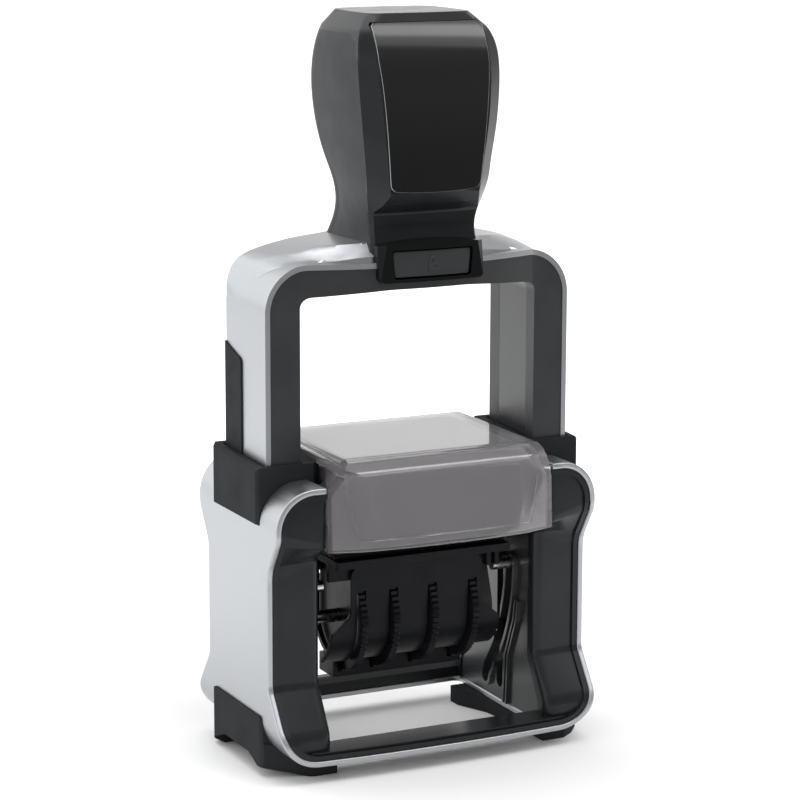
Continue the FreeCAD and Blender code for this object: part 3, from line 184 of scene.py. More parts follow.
def new_material(name, colour, roughness, metallic=0.0, ior=1.5):
    """Material with one shader whose plain values stand on its own sockets, and the place on the piece."""
    material = bpy.data.materials.new(name)
    material.use_nodes = True
    tree = material.node_tree
    shader = tree.nodes["Principled BSDF"]
    shader.inputs["Base Color"].default_value = linear(colour)
    shader.inputs["Roughness"].default_value = roughness
    shader.inputs["Metallic"].default_value = metallic
    shader.inputs["IOR"].default_value = ior
    place = add_node(tree, "ShaderNodeTexCoord").outputs["Object"]
    return material, tree, shader, place


def varied_colour(tree, shader, place, patch, colour, dark, light):
    """Base colour that drifts from a darker to a lighter tone over patches of the given size."""
    noise = add_node(tree, "ShaderNodeTexNoise", Vector=place, Scale=1.0 / patch, Detail=3.0)
    ramp = add_node(tree, "ShaderNodeMapRange", Value=noise.outputs["Fac"], From_Min=0.3, From_Max=0.7)
    mix = add_node(tree, "ShaderNodeMix", {"data_type": "RGBA"}, i0=ramp.outputs["Result"],
                   i6=linear(shade(colour, dark)), i7=linear(shade(colour, light)))
    tree.links.new(mix.outputs[2], shader.inputs["Base Color"])


def varied_roughness(tree, shader, place, patch, low, high):
    """Roughness that drifts between two values, as handling and moulding leave it."""
    noise = add_node(tree, "ShaderNodeTexNoise", Vector=place, Scale=1.0 / patch, Detail=4.0)
    drift = add_node(tree, "ShaderNodeMapRange", Value=noise.outputs["Fac"], From_Min=0.3, From_Max=0.7,
                     To_Min=low, To_Max=high)
    tree.links.new(drift.outputs["Result"], shader.inputs["Roughness"])


def grain_bump(tree, shader, place, spacing, depth, strength):
    """Fine even grain with the given spacing and depth in metres."""
    grain = add_node(tree, "ShaderNodeTexNoise", Vector=place, Scale=1.0 / spacing, Detail=2.0,
                     Roughness=0.6)
    bump = add_node(tree, "ShaderNodeBump", Strength=strength, Distance=depth, Height=grain.outputs["Fac"])
    tree.links.new(bump.outputs["Normal"], shader.inputs["Normal"])


def brushed_stainless():
    """Stainless strip, belt brushed front to back: long fine streaks break its highlights into lines."""
    material, tree, shader, place = new_material("brushed_stainless", colours().steel, 0.36, 1.0)
    # Real streaks lie 0.1 mm apart; they are drawn 0.25 mm apart so that they show.
    streak_gap, stretch = 0.25 * MM, 50
    stretched = (1.0, 1.0 / stretch, 1.0)
    along = add_node(tree, "ShaderNodeMapping", Vector=place, Scale=stretched).outputs["Vector"]
    streaks = add_node(tree, "ShaderNodeTexNoise", Vector=along, Scale=1.0 / streak_gap, Detail=3.0,
                       Roughness=0.7)
    tone = add_node(tree, "ShaderNodeMapRange", Value=streaks.outputs["Fac"], From_Min=0.25, From_Max=0.75)
    mix = add_node(tree, "ShaderNodeMix", {"data_type": "RGBA"}, i0=tone.outputs["Result"],
                   i6=linear(shade(colours().steel, 0.97)), i7=linear(shade(colours().steel, 1.02)))
    tree.links.new(mix.outputs[2], shader.inputs["Base Color"])
    rough = add_node(tree, "ShaderNodeMapRange", Value=streaks.outputs["Fac"], From_Min=0.25, From_Max=0.75,
                     To_Min=0.31, To_Max=0.42)
    tree.links.new(rough.outputs["Result"], shader.inputs["Roughness"])
    bump = add_node(tree, "ShaderNodeBump", Strength=0.12, Distance=0.012 * MM,
                    Height=streaks.outputs["Fac"])
    tree.links.new(bump.outputs["Normal"], shader.inputs["Normal"])
    return material


def turned_steel():
    """Drawn and turned steel of pins, rods and springs: bright, its gloss a little uneven."""
    material, tree, shader, place = new_material("turned_steel", colours().pin_steel, 0.22, 1.0)
    varied_roughness(tree, shader, place, 1.2 * MM, 0.16, 0.30)
    return material


def satin_abs():
    """ABS of the bow's trims and the button, from a spark-eroded mould: near black, soft wide highlights."""
    material, tree, shader, place = new_material("satin_abs", colours().black_abs, 0.40, ior=1.47)
    varied_colour(tree, shader, place, 9 * MM, colours().black_abs, 0.94, 1.08)
    varied_roughness(tree, shader, place, 6 * MM, 0.36, 0.44)
    grain_bump(tree, shader, place, 0.3 * MM, 0.004 * MM, 0.5)
    return material


def frame_abs():
    """ABS of the base's and the handle's frames, from a smoother mould: darker, with closer highlights."""
    material, tree, shader, place = new_material("frame_abs", colours().frame_abs, 0.24, ior=1.32)
    varied_colour(tree, shader, place, 9 * MM, colours().frame_abs, 0.94, 1.08)
    varied_roughness(tree, shader, place, 6 * MM, 0.21, 0.27)
    grain_bump(tree, shader, place, 0.3 * MM, 0.002 * MM, 0.3)
    return material


def textured_abs():
    """ABS from an etched mould, on collars, feet and rails: matt, with hardly a highlight."""
    material, tree, shader, place = new_material("textured_abs", colours().matt_abs, 0.6, ior=1.10)
    varied_colour(tree, shader, place, 9 * MM, colours().matt_abs, 0.94, 1.08)
    varied_roughness(tree, shader, place, 6 * MM, 0.54, 0.64)
    grain_bump(tree, shader, place, 0.35 * MM, 0.008 * MM, 0.6)
    return material


def panel_abs():
    """ABS of the bow's inside and the inner walls, rubbed smooth: it mirrors the studio at a glance."""
    material, tree, shader, place = new_material("panel_abs", colours().black_abs, 0.27, ior=1.62)
    grain_bump(tree, shader, place, 0.3 * MM, 0.001 * MM, 0.3)
    return material


def polished_abs():
    """ABS of the lock housing, from a polished mould: black, with tight highlights."""
    material, tree, shader, place = new_material("polished_abs", colours().gloss_abs, 0.24, ior=1.24)
    varied_roughness(tree, shader, place, 5 * MM, 0.20, 0.28)
    return material


def moulded_acetal():
    """Acetal of sliding and turning works: black, slightly waxy."""
    material, tree, shader, place = new_material("moulded_acetal", colours().black_acetal, 0.33, ior=1.22)
    varied_colour(tree, shader, place, 7 * MM, colours().black_acetal, 0.9, 1.12)
    varied_roughness(tree, shader, place, 4 * MM, 0.28, 0.38)
    return material


def soft_touch_coating():
    """Rubbery paint on the handle's sides: matt, with a faint bloom at glancing angles."""
    material, tree, shader, place = new_material("soft_touch_coating", colours().soft_touch, 0.5, ior=1.27)
    shader.inputs["Sheen Weight"].default_value = 0.12
    shader.inputs["Sheen Roughness"].default_value = 0.45
    varied_colour(tree, shader, place, 8 * MM, colours().soft_touch, 0.95, 1.06)
    varied_roughness(tree, shader, place, 5 * MM, 0.48, 0.58)
    grain_bump(tree, shader, place, 0.35 * MM, 0.006 * MM, 0.5)
    return material


def black_acrylic():
    """Injection-moulded acrylic window over a dark card: smooth, deep black, slightly hazed by handling."""
    material, tree, shader, place = new_material("black_acrylic", colours().window, 0.15, ior=1.49)
    varied_roughness(tree, shader, place, 10 * MM, 0.14, 0.17)
    return material


def rim_painted_highlight():
    """The window's rounded rim, painted pale grey as a highlight where light gathers in the acrylic."""
    material, tree, shader, place = new_material("rim_painted_highlight", colours().rim, 0.2, ior=1.49)
    varied_roughness(tree, shader, place, 3 * MM, 0.15, 0.25)
    return material


def sign_abs():
    """The button's raised sign: a shade lighter and glossier than the button, as rubbed plastic is."""
    material, tree, shader, place = new_material("sign_abs", colours().symbol, 0.3, ior=1.5)
    varied_roughness(tree, shader, place, 1 * MM, 0.25, 0.35)
    return material


def card_stock():
    """Coated dark card."""
    material, tree, shader, place = new_material("card_stock", colours().card, 0.6)
    varied_colour(tree, shader, place, 0.6 * MM, colours().card, 0.9, 1.1)
    return material


def smoked_styrene():
    """Smoked translucent styrene: grey mauve body, glossy skin, light gathers in its edges."""
    material, tree, shader, place = new_material("smoked_styrene", colours().smoke, 0.05, ior=1.57)
    shader.inputs["Transmission Weight"].default_value = 0.9
    varied_roughness(tree, shader, place, 8 * MM, 0.04, 0.07)
    return material


def housing_styrene():
    """Styrene moulding under the cover: pale grey satin, which the smoked cover darkens."""
    material, tree, shader, place = new_material("housing_styrene", colours().housing, 0.45)
    varied_roughness(tree, shader, place, 6 * MM, 0.4, 0.5)
    return material


def inked_felt():
    """Felt soaked with ink: blue black, with a damp nap."""
    material, tree, shader, place = new_material("inked_felt", colours().felt, 0.5)
    varied_colour(tree, shader, place, 0.8 * MM, colours().felt, 0.7, 1.4)
    # Real fibres are 0.03 mm thick; their nap is drawn 0.4 mm coarse so that it shows.
    grain_bump(tree, shader, place, 0.4 * MM, 0.08 * MM, 0.8)
    return material


def moulded_rubber():
    """Vulcanised printing rubber: near black from its ink, matt."""
    material, tree, shader, place = new_material("moulded_rubber", colours().rubber, 0.62)
    varied_colour(tree, shader, place, 2 * MM, colours().rubber, 0.9, 1.08)
    grain_bump(tree, shader, place, 0.3 * MM, 0.01 * MM, 0.5)
    return material


FINISHES = {maker.__name__: maker for maker in (
    brushed_stainless, turned_steel, satin_abs, frame_abs, textured_abs, panel_abs, polished_abs,
    moulded_acetal, soft_touch_coating, black_acrylic, rim_painted_highlight, sign_abs, card_stock, smoked_styrene,
    housing_styrene, inked_felt, moulded_rubber)}


def finish(name):
    """The finish of that name, made once."""
    return bpy.data.materials.get(name) or FINISHES[name]()


def only(piece):
    """Nothing but one object is selected and active."""
    bpy.ops.object.select_all(action="DESELECT")
    piece.select_set(True)
    bpy.context.view_layer.objects.active = piece


def apply_all(piece):
    """Applies the piece's modifiers in order."""
    only(piece)
    for modifier in list(piece.modifiers):
        bpy.ops.object.modifier_apply(modifier=modifier.name)


def give(node, name):
    """Puts a finish on a CAD node that keeps its shape."""
    target = frame["nodes"][node]
    for slot in target.material_slots:
        slot.material = finish(name)


def coat(piece, *names):
    """Gives a piece these finishes and no other."""
    piece.data.materials.clear()
    for name in names:
        piece.data.materials.append(finish(name))


def merged_copy(node, name):
    """A new object with a CAD node's shape, its corners merged and its flat facets joined."""
    same_place, flat = 0.002 * MM, math.radians(0.4)
    piece = bpy.data.objects.new(name, frame["nodes"][node].data.copy())
    bpy.context.scene.collection.objects.link(piece)
    only(piece)
    bpy.ops.object.mode_set(mode="EDIT")
    bpy.ops.mesh.select_all(action="SELECT")
    bpy.ops.mesh.remove_doubles(threshold=same_place)
    bpy.ops.mesh.dissolve_limited(angle_limit=flat)
    bpy.ops.object.mode_set(mode="OBJECT")
    if piece.data.has_custom_normals:
        bpy.ops.mesh.customdata_custom_splitnormals_clear()
    return piece


def round_edges(piece, width, limit=33.0, finish_number=-1, full=False):
    """Rounds every edge sharper than the limit; the rounds may take another of the piece's finishes.

    A full round keeps its width where short edges crowd it, and has more steps across it.
    """
    added_steps = 2 if full else 0
    bevel = piece.modifiers.new("rounded_edges", "BEVEL")
    bevel.material = finish_number
    bevel.use_clamp_overlap = not full
    bevel.width = width
    bevel.segments = sizes().edge_segments + added_steps
    bevel.limit_method = "ANGLE"
    bevel.angle_limit = math.radians(limit)
    bevel.miter_outer = "MITER_ARC"
    apply_all(piece)


def smooth(piece, angle=34.0):
    """Smooth shading, except over edges sharper than the angle."""
    only(piece)
    bpy.ops.object.shade_smooth_by_angle(angle=math.radians(angle))
    even = piece.modifiers.new("even_shading", "WEIGHTED_NORMAL")
    even.keep_sharp = True
    apply_all(piece)


def seat(piece, node):
    """The piece rides where the node rides and stands for it."""
    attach(piece, BODY_OF[node])
    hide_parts(node)


def split_flats(piece):
    """Cuts the many-sided flats into triangles, so that wide rounds beside them keep them whole."""
    only(piece)
    bpy.ops.object.mode_set(mode="EDIT")
    bpy.ops.mesh.select_all(action="DESELECT")
    bpy.ops.mesh.select_mode(type="FACE")
    bpy.ops.object.mode_set(mode="OBJECT")
    for face in piece.data.polygons:
        face.select = len(face.vertices) > 4
    bpy.ops.object.mode_set(mode="EDIT")
    bpy.ops.mesh.quads_convert_to_tris(quad_method="BEAUTY", ngon_method="BEAUTY")
    bpy.ops.object.mode_set(mode="OBJECT")


def dress(node, name, material, edge, shaping=None, full=False):
    """A piece that stands for a node: its shape, reshaped where asked, with rounded edges and a finish."""
    piece = merged_copy(node, name)
    if shaping:
        shaping(piece)
    if full:
        split_flats(piece)
    round_edges(piece, edge, full=full)
    smooth(piece)
    coat(piece, material)
    seat(piece, node)


# The window in millimetres: half its width by height, and the handle's reach in front of its axis by height.
WINDOW_HALVES = ((123.9, 10.5), (151.1, 12.9), (159.1, 12.9))
WINDOW_PROFILE = ((122.7, 18.0), (129.0, 18.4), (137.0, 18.7), (145.0, 18.4), (151.0, 17.4), (155.0, 15.75),
                  (157.7, 14.25), (159.1, 13.0))


def between(pairs, value):
    """Value read off a line through pairs."""
    for (x0, y0), (x1, y1) in zip(pairs, pairs[1:]):
        if value <= x1:
            break
    return y0 + (y1 - y0) * (value - x0) / (x1 - x0)


def round_in(distance, radius):
    """How far a rounded corner draws the side in, at a distance from the end."""
    short = radius - min(radius, distance)
    return radius - math.sqrt(radius ** 2 - short ** 2)


def lay_window(piece):
    """Lays a flat unit grid on the handle's front, with its rows closer together at both ends."""
    low, high = WINDOW_HALVES[0][0], WINDOW_HALVES[-1][0]
    low_half, handle_half = WINDOW_HALVES[0][1], 13.0
    low_corner, high_corner = 1.4, 1.0
    gap, crowding, low_sag, crown = 0.06, 0.9, 0.5, 0.7
    reach = numpy.polynomial.Polynomial.fit(*zip(*WINDOW_PROFILE), 5)
    span = high - low
    for vertex in piece.data.vertices:
        along = vertex.co.y + 0.5
        along -= crowding * math.sin(2 * math.pi * along) / (2 * math.pi)
        half = between(WINDOW_HALVES, low + along * span)
        half -= round_in(along * span, low_corner) + round_in((1 - along) * span, high_corner)
        x = vertex.co.x * 2 * (half - gap)
        z = low + gap + along * (span - 2 * gap) + low_sag * (x / low_half) ** 2 * (1 - along)
        y = -reach(z) - crown * (1 - (x / handle_half) ** 2)
        vertex.co = Vector((x, y, z)) * MM


def front_window():
    """Curved window: a grid laid on the handle's front, thickened, with a fine round along its rim."""
    columns, rows, rim_angle = 28, 60, 50.0
    bpy.ops.mesh.primitive_grid_add(x_subdivisions=columns, y_subdivisions=rows, size=1.0)
    piece = bpy.context.object
    piece.name = "front_window"
    lay_window(piece)
    thick = piece.modifiers.new("thickness", "SOLIDIFY")
    thick.thickness = sizes().window_thickness
    thick.offset = 1.0 if piece.data.polygons[0].normal.y > 0 else -1.0
    apply_all(piece)
    bpy.ops.object.mode_set(mode="EDIT")
    bpy.ops.mesh.select_all(action="SELECT")
    bpy.ops.mesh.normals_make_consistent(inside=False)
    bpy.ops.object.mode_set(mode="OBJECT")
    # The rim's round takes the pale painted highlight as its second finish.
    coat(piece, "black_acrylic", "rim_painted_highlight")
    round_edges(piece, sizes().rim_edge, rim_angle, finish_number=1, full=True)
    smooth(piece, rim_angle)
    seat(piece, "label_window")


def sign_body(front, middle):
    """The padlock's body: a block half sunk in the button's face, with its front framed by an outline."""
    size = sizes()
    bpy.ops.mesh.primitive_cube_add(size=1.0)
    body = bpy.context.object
    body.name = "button_sign"
    body.scale = (size.sign_width, 2 * size.sign_relief, size.sign_height)
    body.location = (0, front, middle)
    bpy.ops.object.transform_apply(location=True, scale=True)
    bpy.ops.object.mode_set(mode="EDIT")
    bpy.ops.mesh.select_all(action="DESELECT")
    bpy.ops.object.mode_set(mode="OBJECT")
    for face in body.data.polygons:
        face.select = face.normal.y < -0.9
    bpy.ops.object.mode_set(mode="EDIT")
    bpy.ops.mesh.select_mode(type="FACE")
    bpy.ops.mesh.inset(thickness=size.sign_line)
    bpy.ops.transform.translate(value=(0, size.sign_relief * 0.9, 0))
    bpy.ops.object.mode_set(mode="OBJECT")
    return body


def sign_hoop(front, level):
    """The padlock's bow: a ring whose lower half is brought to one level, which leaves two short legs."""
    size = sizes()
    radius, leg, clear = size.sign_width * 0.33, 0.5 * MM, 0.01 * MM
    bpy.ops.mesh.primitive_torus_add(major_radius=radius, minor_radius=size.sign_line / 2, major_segments=24,
                                     minor_segments=8, rotation=(math.pi / 2, 0, 0))
    hoop = bpy.context.object
    hoop.location = (0, front, level)
    bpy.ops.object.transform_apply(location=True, rotation=True)
    for vertex in hoop.data.vertices:
        if vertex.co.z < level - clear:
            vertex.co.z = level - leg


def button_sign():
    """Generic padlock raised on the lock button: outlined body and a bow above it."""
    low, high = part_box("lock_button")
    drop, hoop_rise = 0.6 * MM, 0.45 * MM
    front, middle = low[1], (low[2] + high[2]) / 2 - drop
    body = sign_body(front, middle)
    sign_hoop(front, middle + sizes().sign_height / 2 + hoop_rise)
    body.select_set(True)
    bpy.context.view_layer.objects.active = body
    bpy.ops.object.join()
    round_edges(body, sizes().sign_edge)
    smooth(body)
    coat(body, "sign_abs")
    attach(body, "button")


# The bow: its legs' front and inner faces, and how far the black trim lies behind the steel's edge.
LEG_FRONT = -11.0 * MM
LEG_INNER = 27.85 * MM
TRIM_SETBACK = 0.2 * MM


def flush_bow(piece, leg_front):
    """Brings the arch's front level with the legs at its corners, so that one face runs on down each leg."""
    arch_foot, front_skin, overhang = 97.6 * MM, 0.05 * MM, 1.54 * MM
    for vertex in piece.data.vertices:
        if vertex.co.z > arch_foot and vertex.co.y < leg_front + front_skin:
            share = abs(vertex.co.x) / LEG_INNER
            if share < 1.0:
                vertex.co.y += overhang * share ** 2
            else:
                vertex.co.y = max(vertex.co.y, leg_front)
    piece.data.update()


def widen_lid(piece):
    """Brings the lid's upper sides out to the collars, and a little further in front of them."""
    shoulder, brow, rise_height = 62.6 * MM, 66.6 * MM, 3.9 * MM
    front_start, front_depth = -18.0 * MM, 3.0 * MM
    side_growth, side_front_growth, lid_growth, lid_front_growth = 0.012, 0.07, 0.065, 0.082
    collar_face, collar_reach = 23.05 * MM, 12.6 * MM
    for vertex in piece.data.vertices:
        if vertex.co.z > shoulder:
            rise = min(1.0, (vertex.co.z - shoulder) / rise_height)
            front = min(1.0, max(0.0, (front_start - vertex.co.y) / front_depth))
            growth = max(lid_growth, lid_front_growth * front)
            if vertex.co.z < brow:
                growth = rise * (side_growth + side_front_growth * front)
            vertex.co.x *= 1.0 + growth
            if abs(vertex.co.y) < collar_reach:
                vertex.co.x = max(-collar_face, min(collar_face, vertex.co.x))
    piece.data.update()


def ease_rod_collars(piece):
    """Turns the rods' collars down a little, so that the legs' bores run over them with a gap."""
    low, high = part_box("spring_rods")
    collar, collar_core, gap = 2.6 * MM, 2.0 * MM, 0.15 * MM
    rod_place, depth = high[0] - collar, (low[1] + high[1]) / 2
    for vertex in piece.data.vertices:
        side = math.copysign(rod_place, vertex.co.x)
        off_x, off_y = vertex.co.x - side, vertex.co.y - depth
        radius = math.hypot(off_x, off_y)
        if radius > collar_core:
            share = (radius - gap) / radius
            vertex.co.x = side + off_x * share
            vertex.co.y = depth + off_y * share
    piece.data.update()


def cover_creases():
    """Fine raised lines that frame the flat of the cover's front."""
    _, front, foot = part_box("pad_cover")[0]
    # The front leans back 1.6 mm over its height of 16.5 mm, and bows out across its width.
    lean, bow_radius, steps = 1.6 / 16.5, 150.0 * MM, 24
    corners = ((-23.4, 65.4), (-20.5, 52.2), (20.5, 52.2), (23.4, 65.4))
    curve = bpy.data.curves.new("cover_creases", "CURVE")
    curve.dimensions = "3D"
    curve.bevel_depth = sizes().crease_line / 2
    curve.bevel_resolution = 2
    for start, end in zip(corners, corners[1:]):
        line = curve.splines.new("POLY")
        line.points.add(steps)
        for i, point in enumerate(line.points):
            x, z = Vector(start).lerp(Vector(end), i / steps) * MM
            y = front + lean * (z - foot) + x ** 2 / (2 * bow_radius)
            point.co = (x, y, z, 1.0)
    piece = bpy.data.objects.new("cover_creases", curve)
    bpy.context.scene.collection.objects.link(piece)
    only(piece)
    bpy.ops.object.convert(target="MESH")
    piece = bpy.context.object
    smooth(piece)
    coat(piece, "smoked_styrene")
    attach(piece, "base")


class STAMP_OT_steel_band(bpy.types.Operator):
    """Brushed strips of the base and the bow, their edges rounded by tumbling"""
    bl_idname = "stamp.steel_band"
    bl_label = "Steel strips"

    def execute(self, context):
        dress("steel_shell", "base_strip", "brushed_stainless", sizes().steel_edge, full=True)
        dress("bow_band", "bow_strip", "brushed_stainless", sizes().steel_edge,
              lambda bow: flush_bow(bow, LEG_FRONT))
        return {"FINISHED"}


class STAMP_OT_bezels(bpy.types.Operator):
    """Black frames inside the front and rear edges of the base"""
    bl_idname = "stamp.bezels"
    bl_label = "Bezels"

    def execute(self, context):
        dress("front_bezel", "front_frame", "frame_abs", sizes().moulded_edge)
        dress("rear_bezel", "rear_frame", "frame_abs", sizes().moulded_edge)
        return {"FINISHED"}


class STAMP_OT_corners(bpy.types.Operator):
    """Collars that guide the legs, and the feet that wrap the base's lower corners"""
    bl_idname = "stamp.corners"
    bl_label = "Collars and feet"

    def execute(self, context):
        for side in SIDES:
            dress(f"{side}_collar", f"{side}_leg_guide", "textured_abs", sizes().moulded_edge)
            dress(f"{side}_foot", f"{side}_wrapped_foot", "textured_abs", sizes().moulded_edge)
        return {"FINISHED"}


class STAMP_OT_bow(bpy.types.Operator):
    """Black channel inside the bow, its trims, and the strips on the legs' outer faces"""
    bl_idname = "stamp.bow"
    bl_label = "Bow"

    def execute(self, context):
        dress("bow_front_trim", "bow_front_frame", "satin_abs", sizes().moulded_edge,
              lambda bow: flush_bow(bow, LEG_FRONT + TRIM_SETBACK))
        dress("bow_rear_trim", "bow_rear_frame", "satin_abs", sizes().moulded_edge)
        dress("bow_channel", "bow_inner_channel", "panel_abs", sizes().moulded_edge)
        for side in SIDES:
            dress(f"{side}_leg_rail", f"{side}_rail_strip", "textured_abs", sizes().fine_edge)
            give(f"{side}_axle_pin", "turned_steel")
        give("return_springs", "turned_steel")
        dress("spring_rods", "turned_rods", "turned_steel", sizes().fine_edge, ease_rod_collars)
        return {"FINISHED"}


class STAMP_OT_lock(bpy.types.Operator):
    """Lock housing under the handle, its button and spring"""
    bl_idname = "stamp.lock"
    bl_label = "Lock"

    def execute(self, context):
        dress("lock_housing", "lock_frame", "polished_abs", sizes().moulded_edge)
        dress("lock_button", "lock_key", "satin_abs", sizes().moulded_edge)
        button_sign()
        give("button_spring", "turned_steel")
        return {"FINISHED"}


class STAMP_OT_handle(bpy.types.Operator):
    """Handle: front frame, soft-touch sides and the glossy window with its card"""
    bl_idname = "stamp.handle"
    bl_label = "Handle"

    def execute(self, context):
        dress("handle_core", "handle_frame", "frame_abs", sizes().moulded_edge)
        for side in SIDES:
            dress(f"{side}_grip", f"{side}_soft_side", "soft_touch_coating", sizes().seam_edge)
        front_window()
        give("label_card", "card_stock")
        return {"FINISHED"}


class STAMP_OT_pad(bpy.types.Operator):
    """Smoked cover over the ink pad, the moulding under it, the tray and its felt"""
    bl_idname = "stamp.pad"
    bl_label = "Ink pad and cover"

    def execute(self, context):
        dress("pad_cover", "smoked_cover", "smoked_styrene", sizes().cover_edge, widen_lid)
        cover_creases()
        give("pad_housing", "housing_styrene")
        dress("pad_tray", "ink_tray", "moulded_acetal", sizes().fine_edge)
        give("ink_pad", "inked_felt")
        return {"FINISHED"}


class STAMP_OT_walls(bpy.types.Operator):
    """Inner walls with their slots and cam tracks"""
    bl_idname = "stamp.walls"
    bl_label = "Inner walls"

    def execute(self, context):
        for side in SIDES:
            dress(f"{side}_side_wall", f"{side}_cam_wall", "panel_abs", sizes().fine_edge)
        return {"FINISHED"}


class STAMP_OT_works(bpy.types.Operator):
    """Turning frame, plate, rubber, date cover, bands and wheels"""
    bl_idname = "stamp.works"
    bl_label = "Date works"

    def execute(self, context):
        dress("carriage_frame", "turning_frame", "moulded_acetal", sizes().fine_edge)
        dress("date_cover", "date_panel", "moulded_acetal", sizes().fine_edge)
        dress("text_plate", "plate_carrier", "moulded_acetal", sizes().fine_edge)
        give("text_die", "moulded_rubber")
        give("date_bridge", "moulded_acetal")
        give("band_shaft", "turned_steel")
        give("cam_pins", "turned_steel")
        for number in (1, 2, 3, 4):
            dress(f"date_wheel_{number}", f"setting_wheel_{number}", "moulded_acetal", sizes().tooth_edge)
            give(f"date_band_{number}", "moulded_rubber")
        return {"FINISHED"}


def sky_light(tree, direction):
    """Brightness of the studio by direction: bright low behind and at the left, dim in front and below."""
    parts = add_node(tree, "ShaderNodeSeparateXYZ", Vector=direction)

    def lobe(axis, start, end, low, high):
        """Brightness that turns smoothly from low to high between two values of one axis."""
        return add_node(tree, "ShaderNodeMapRange", {"interpolation_type": "SMOOTHSTEP"},
                        Value=parts.outputs[axis], From_Min=start, From_Max=end, To_Min=low,
                        To_Max=high).outputs["Result"]

    def combine(kind, first, second):
        """Two brightnesses added, multiplied or compared."""
        return add_node(tree, "ShaderNodeMath", {"operation": kind}, i0=first, i1=second).outputs["Value"]

    floor_share, high_share, corner_share = 0.6, 0.15, 1.5
    front = lobe("Z", -0.35, 0.05, floor_share * studio().front_light, studio().front_light)
    horizon = lobe("Z", 0.22, 0.42, 1.0, high_share)
    corner = lobe("X", 0.2, -0.2, 0.0, corner_share)
    behind = lobe("Y", -0.2, 0.6, 0.0, studio().back_light)
    back = combine("MULTIPLY", behind, combine("MAXIMUM", horizon, corner))
    top = lobe("Z", 0.15, 0.95, 0.0, studio().top_light)
    left = lobe("X", -0.55, -0.95, 0.0, studio().left_light)
    return combine("ADD", combine("ADD", front, back), combine("ADD", top, left))


def studio_world():
    """White backdrop, with soft light that differs by direction."""
    world = bpy.data.worlds.new("studio")
    bpy.context.scene.world = world
    world.use_nodes = True
    tree = world.node_tree
    backdrop_strength = 1.1
    output = tree.nodes["World Output"]
    direction = add_node(tree, "ShaderNodeTexCoord").outputs["Generated"]
    lit = add_node(tree, "ShaderNodeBackground", Strength=sky_light(tree, direction))
    lit.inputs["Color"].default_value = WHITE
    seen = add_node(tree, "ShaderNodeBackground", Strength=backdrop_strength)
    seen.inputs["Color"].default_value = WHITE
    sight = add_node(tree, "ShaderNodeLightPath").outputs["Is Camera Ray"]
    mix = add_node(tree, "ShaderNodeMixShader", i0=sight, i1=lit.outputs[0], i2=seen.outputs[0])
    tree.links.new(mix.outputs[0], output.inputs["Surface"])


def studio_floor():
    """White floor that ends just in front of the stamp, so that its front reflects a dim studio. It glows
    white, but the glow fades out near the stamp into a painted shadow round its foot.
    """
    width, depth, in_front = 6.0, 4.0, 0.20
    shadow_reach, clear_reach, lift_far, lift_reflected = 0.06, 0.17, 0.40, 0.55
    bpy.ops.mesh.primitive_plane_add(size=1.0, location=(0, 0, 0))
    floor = bpy.context.object
    floor.name = "floor"
    floor.scale = (width, depth, 1.0)
    floor.location.y = depth / 2 - in_front
    bpy.ops.object.transform_apply(location=True, scale=True)
    material, tree, shader, place = new_material("floor_paper", studio().floor, 0.75)
    shader.inputs["Specular IOR Level"].default_value = 0.2
    shader.inputs["Emission Color"].default_value = WHITE
    # Painted shadow: the glow is zero within shadow_reach of the stamp and fades in up to clear_reach, so
    # the floor darkens round the stamp; reflections see a smaller share of the glow.
    away = add_node(tree, "ShaderNodeVectorMath", {"operation": "LENGTH"}, i0=place).outputs["Value"]
    painted_shadow_fade = add_node(tree, "ShaderNodeMapRange", {"interpolation_type": "SMOOTHSTEP"}, Value=away,
                   From_Min=shadow_reach, From_Max=clear_reach, To_Min=0.0, To_Max=lift_far)
    sight = add_node(tree, "ShaderNodeLightPath").outputs["Is Camera Ray"]
    share = add_node(tree, "ShaderNodeMapRange", Value=sight, To_Min=lift_reflected, To_Max=1.0)
    floor_glow = add_node(tree, "ShaderNodeMath", {"operation": "MULTIPLY"}, i0=painted_shadow_fade.outputs["Result"],
                    i1=share.outputs["Result"])
    tree.links.new(floor_glow.outputs["Value"], shader.inputs["Emission Strength"])
    floor.data.materials.append(material)


def studio_lights():
    """Soft boxes that all face the stamp: each one's place, width, height and power in watts."""
    aim = Vector((0, 0, 0.08))
    boxes = {
        "left_box": ((-0.75, -0.45, 0.50), 0.45, 0.45, 0.35),
        "top_box": ((-0.12, 0.26, 0.95), 0.70, 0.70, 2.6),
        "front_box": ((0.44, -0.55, 1.20), 1.30, 0.80, 4.6),
        "band_box": ((0.38, -0.40, 1.00), 1.00, 0.26, 3.0),
    }
    for name, (place, width, height, power) in boxes.items():
        data = bpy.data.lights.new(name, "AREA")
        data.shape = "RECTANGLE"
        data.size, data.size_y = width, height
        data.energy = power
        light = bpy.data.objects.new(name, data)
        bpy.context.scene.collection.objects.link(light)
        back = (Vector(place) - aim).normalized()
        along = (Vector((1, 0, 0)) - back * back.x).normalized()
        turn = Matrix((along, back.cross(along), back)).transposed().to_4x4()
        light.matrix_world = Matrix.Translation(place) @ turn


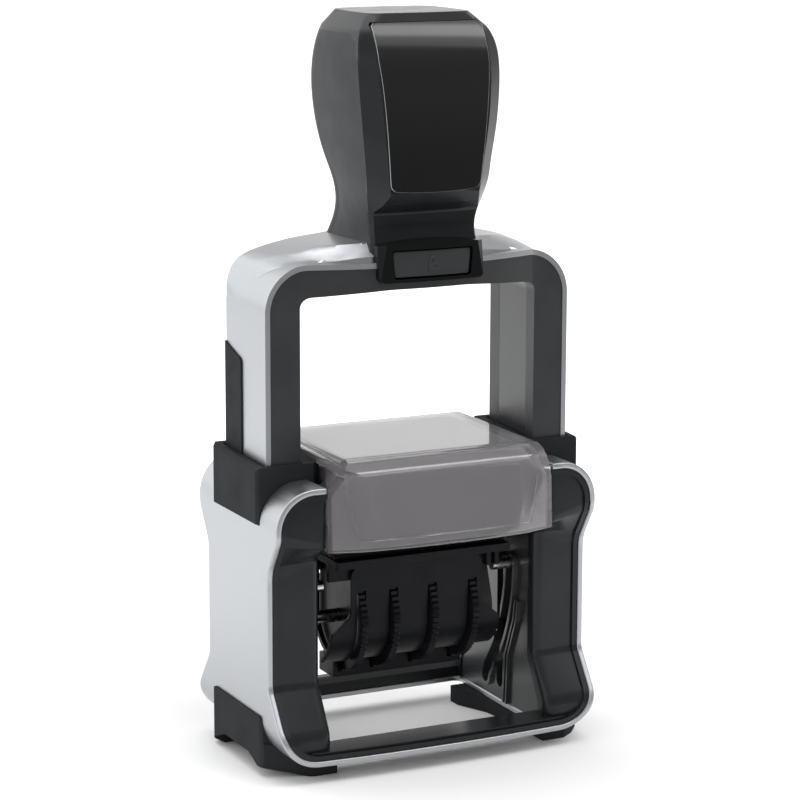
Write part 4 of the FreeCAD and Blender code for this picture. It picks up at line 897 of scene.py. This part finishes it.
def studio_camera():
    """Long lens from the front left, slightly above, as the photograph was taken."""
    azimuth, elevation, roll = studio().azimuth, studio().elevation, studio().roll
    back = Vector((math.sin(azimuth) * math.cos(elevation), -math.cos(azimuth) * math.cos(elevation),
                   math.sin(elevation)))
    right = (-back).cross(Vector((0, 0, 1))).normalized()
    up = right.cross(-back)
    turned_right = right * math.cos(roll) + up * math.sin(roll)
    turned_up = up * math.cos(roll) - right * math.sin(roll)
    data = bpy.data.cameras.new("product_camera")
    data.lens = studio().focal_length
    data.sensor_width = 36.0
    data.sensor_fit = "HORIZONTAL"
    camera = bpy.data.objects.new("product_camera", data)
    bpy.context.scene.collection.objects.link(camera)
    turn = Matrix((turned_right, turned_up, back)).transposed().to_4x4()
    camera.matrix_world = Matrix.Translation(studio().place) @ turn
    bpy.context.scene.camera = camera


class STAMP_OT_stage(bpy.types.Operator):
    """White floor, soft light and the camera"""
    bl_idname = "stamp.stage"
    bl_label = "Stage"

    def execute(self, context):
        bpy.ops.object.select_all(action="DESELECT")
        studio_floor()
        studio_world()
        studio_lights()
        studio_camera()
        context.scene.view_settings.view_transform = "Standard"
        return {"FINISHED"}


OPERATORS = (STAMP_OT_stage, STAMP_OT_steel_band, STAMP_OT_bezels, STAMP_OT_corners, STAMP_OT_bow,
             STAMP_OT_lock, STAMP_OT_handle, STAMP_OT_pad, STAMP_OT_walls, STAMP_OT_works)


class STAMP_PT_panel(bpy.types.Panel):
    """Sidebar panel that lists the stamp's pieces"""
    bl_idname = "STAMP_PT_panel"
    bl_label = "Date Stamp"
    bl_space_type = "VIEW_3D"
    bl_region_type = "UI"
    bl_category = "Date Stamp"

    def draw(self, context):
        for operator in OPERATORS:
            self.layout.operator(operator.bl_idname)
        for group in (context.scene.stamp_sizes, context.scene.stamp_colours, context.scene.stamp_studio):
            for name in group.bl_rna.properties.keys():
                if name not in ("rna_type", "name"):
                    self.layout.prop(group, name)


CLASSES = (StampColours, StampSizes, StudioSettings) + OPERATORS + (STAMP_PT_panel,)


def register():
    for item in CLASSES:
        bpy.utils.register_class(item)
    bpy.types.Scene.stamp_colours = PointerProperty(type=StampColours)
    bpy.types.Scene.stamp_sizes = PointerProperty(type=StampSizes)
    bpy.types.Scene.stamp_studio = PointerProperty(type=StudioSettings)


def unregister():
    del bpy.types.Scene.stamp_studio
    del bpy.types.Scene.stamp_sizes
    del bpy.types.Scene.stamp_colours
    for item in reversed(CLASSES):
        bpy.utils.unregister_class(item)


def main():
    """Makes the whole model."""
    register()
    for operator in OPERATORS:
        group, name = operator.bl_idname.split(".")
        getattr(getattr(bpy.ops, group), name)()


if __name__ == "__main__":
    main()
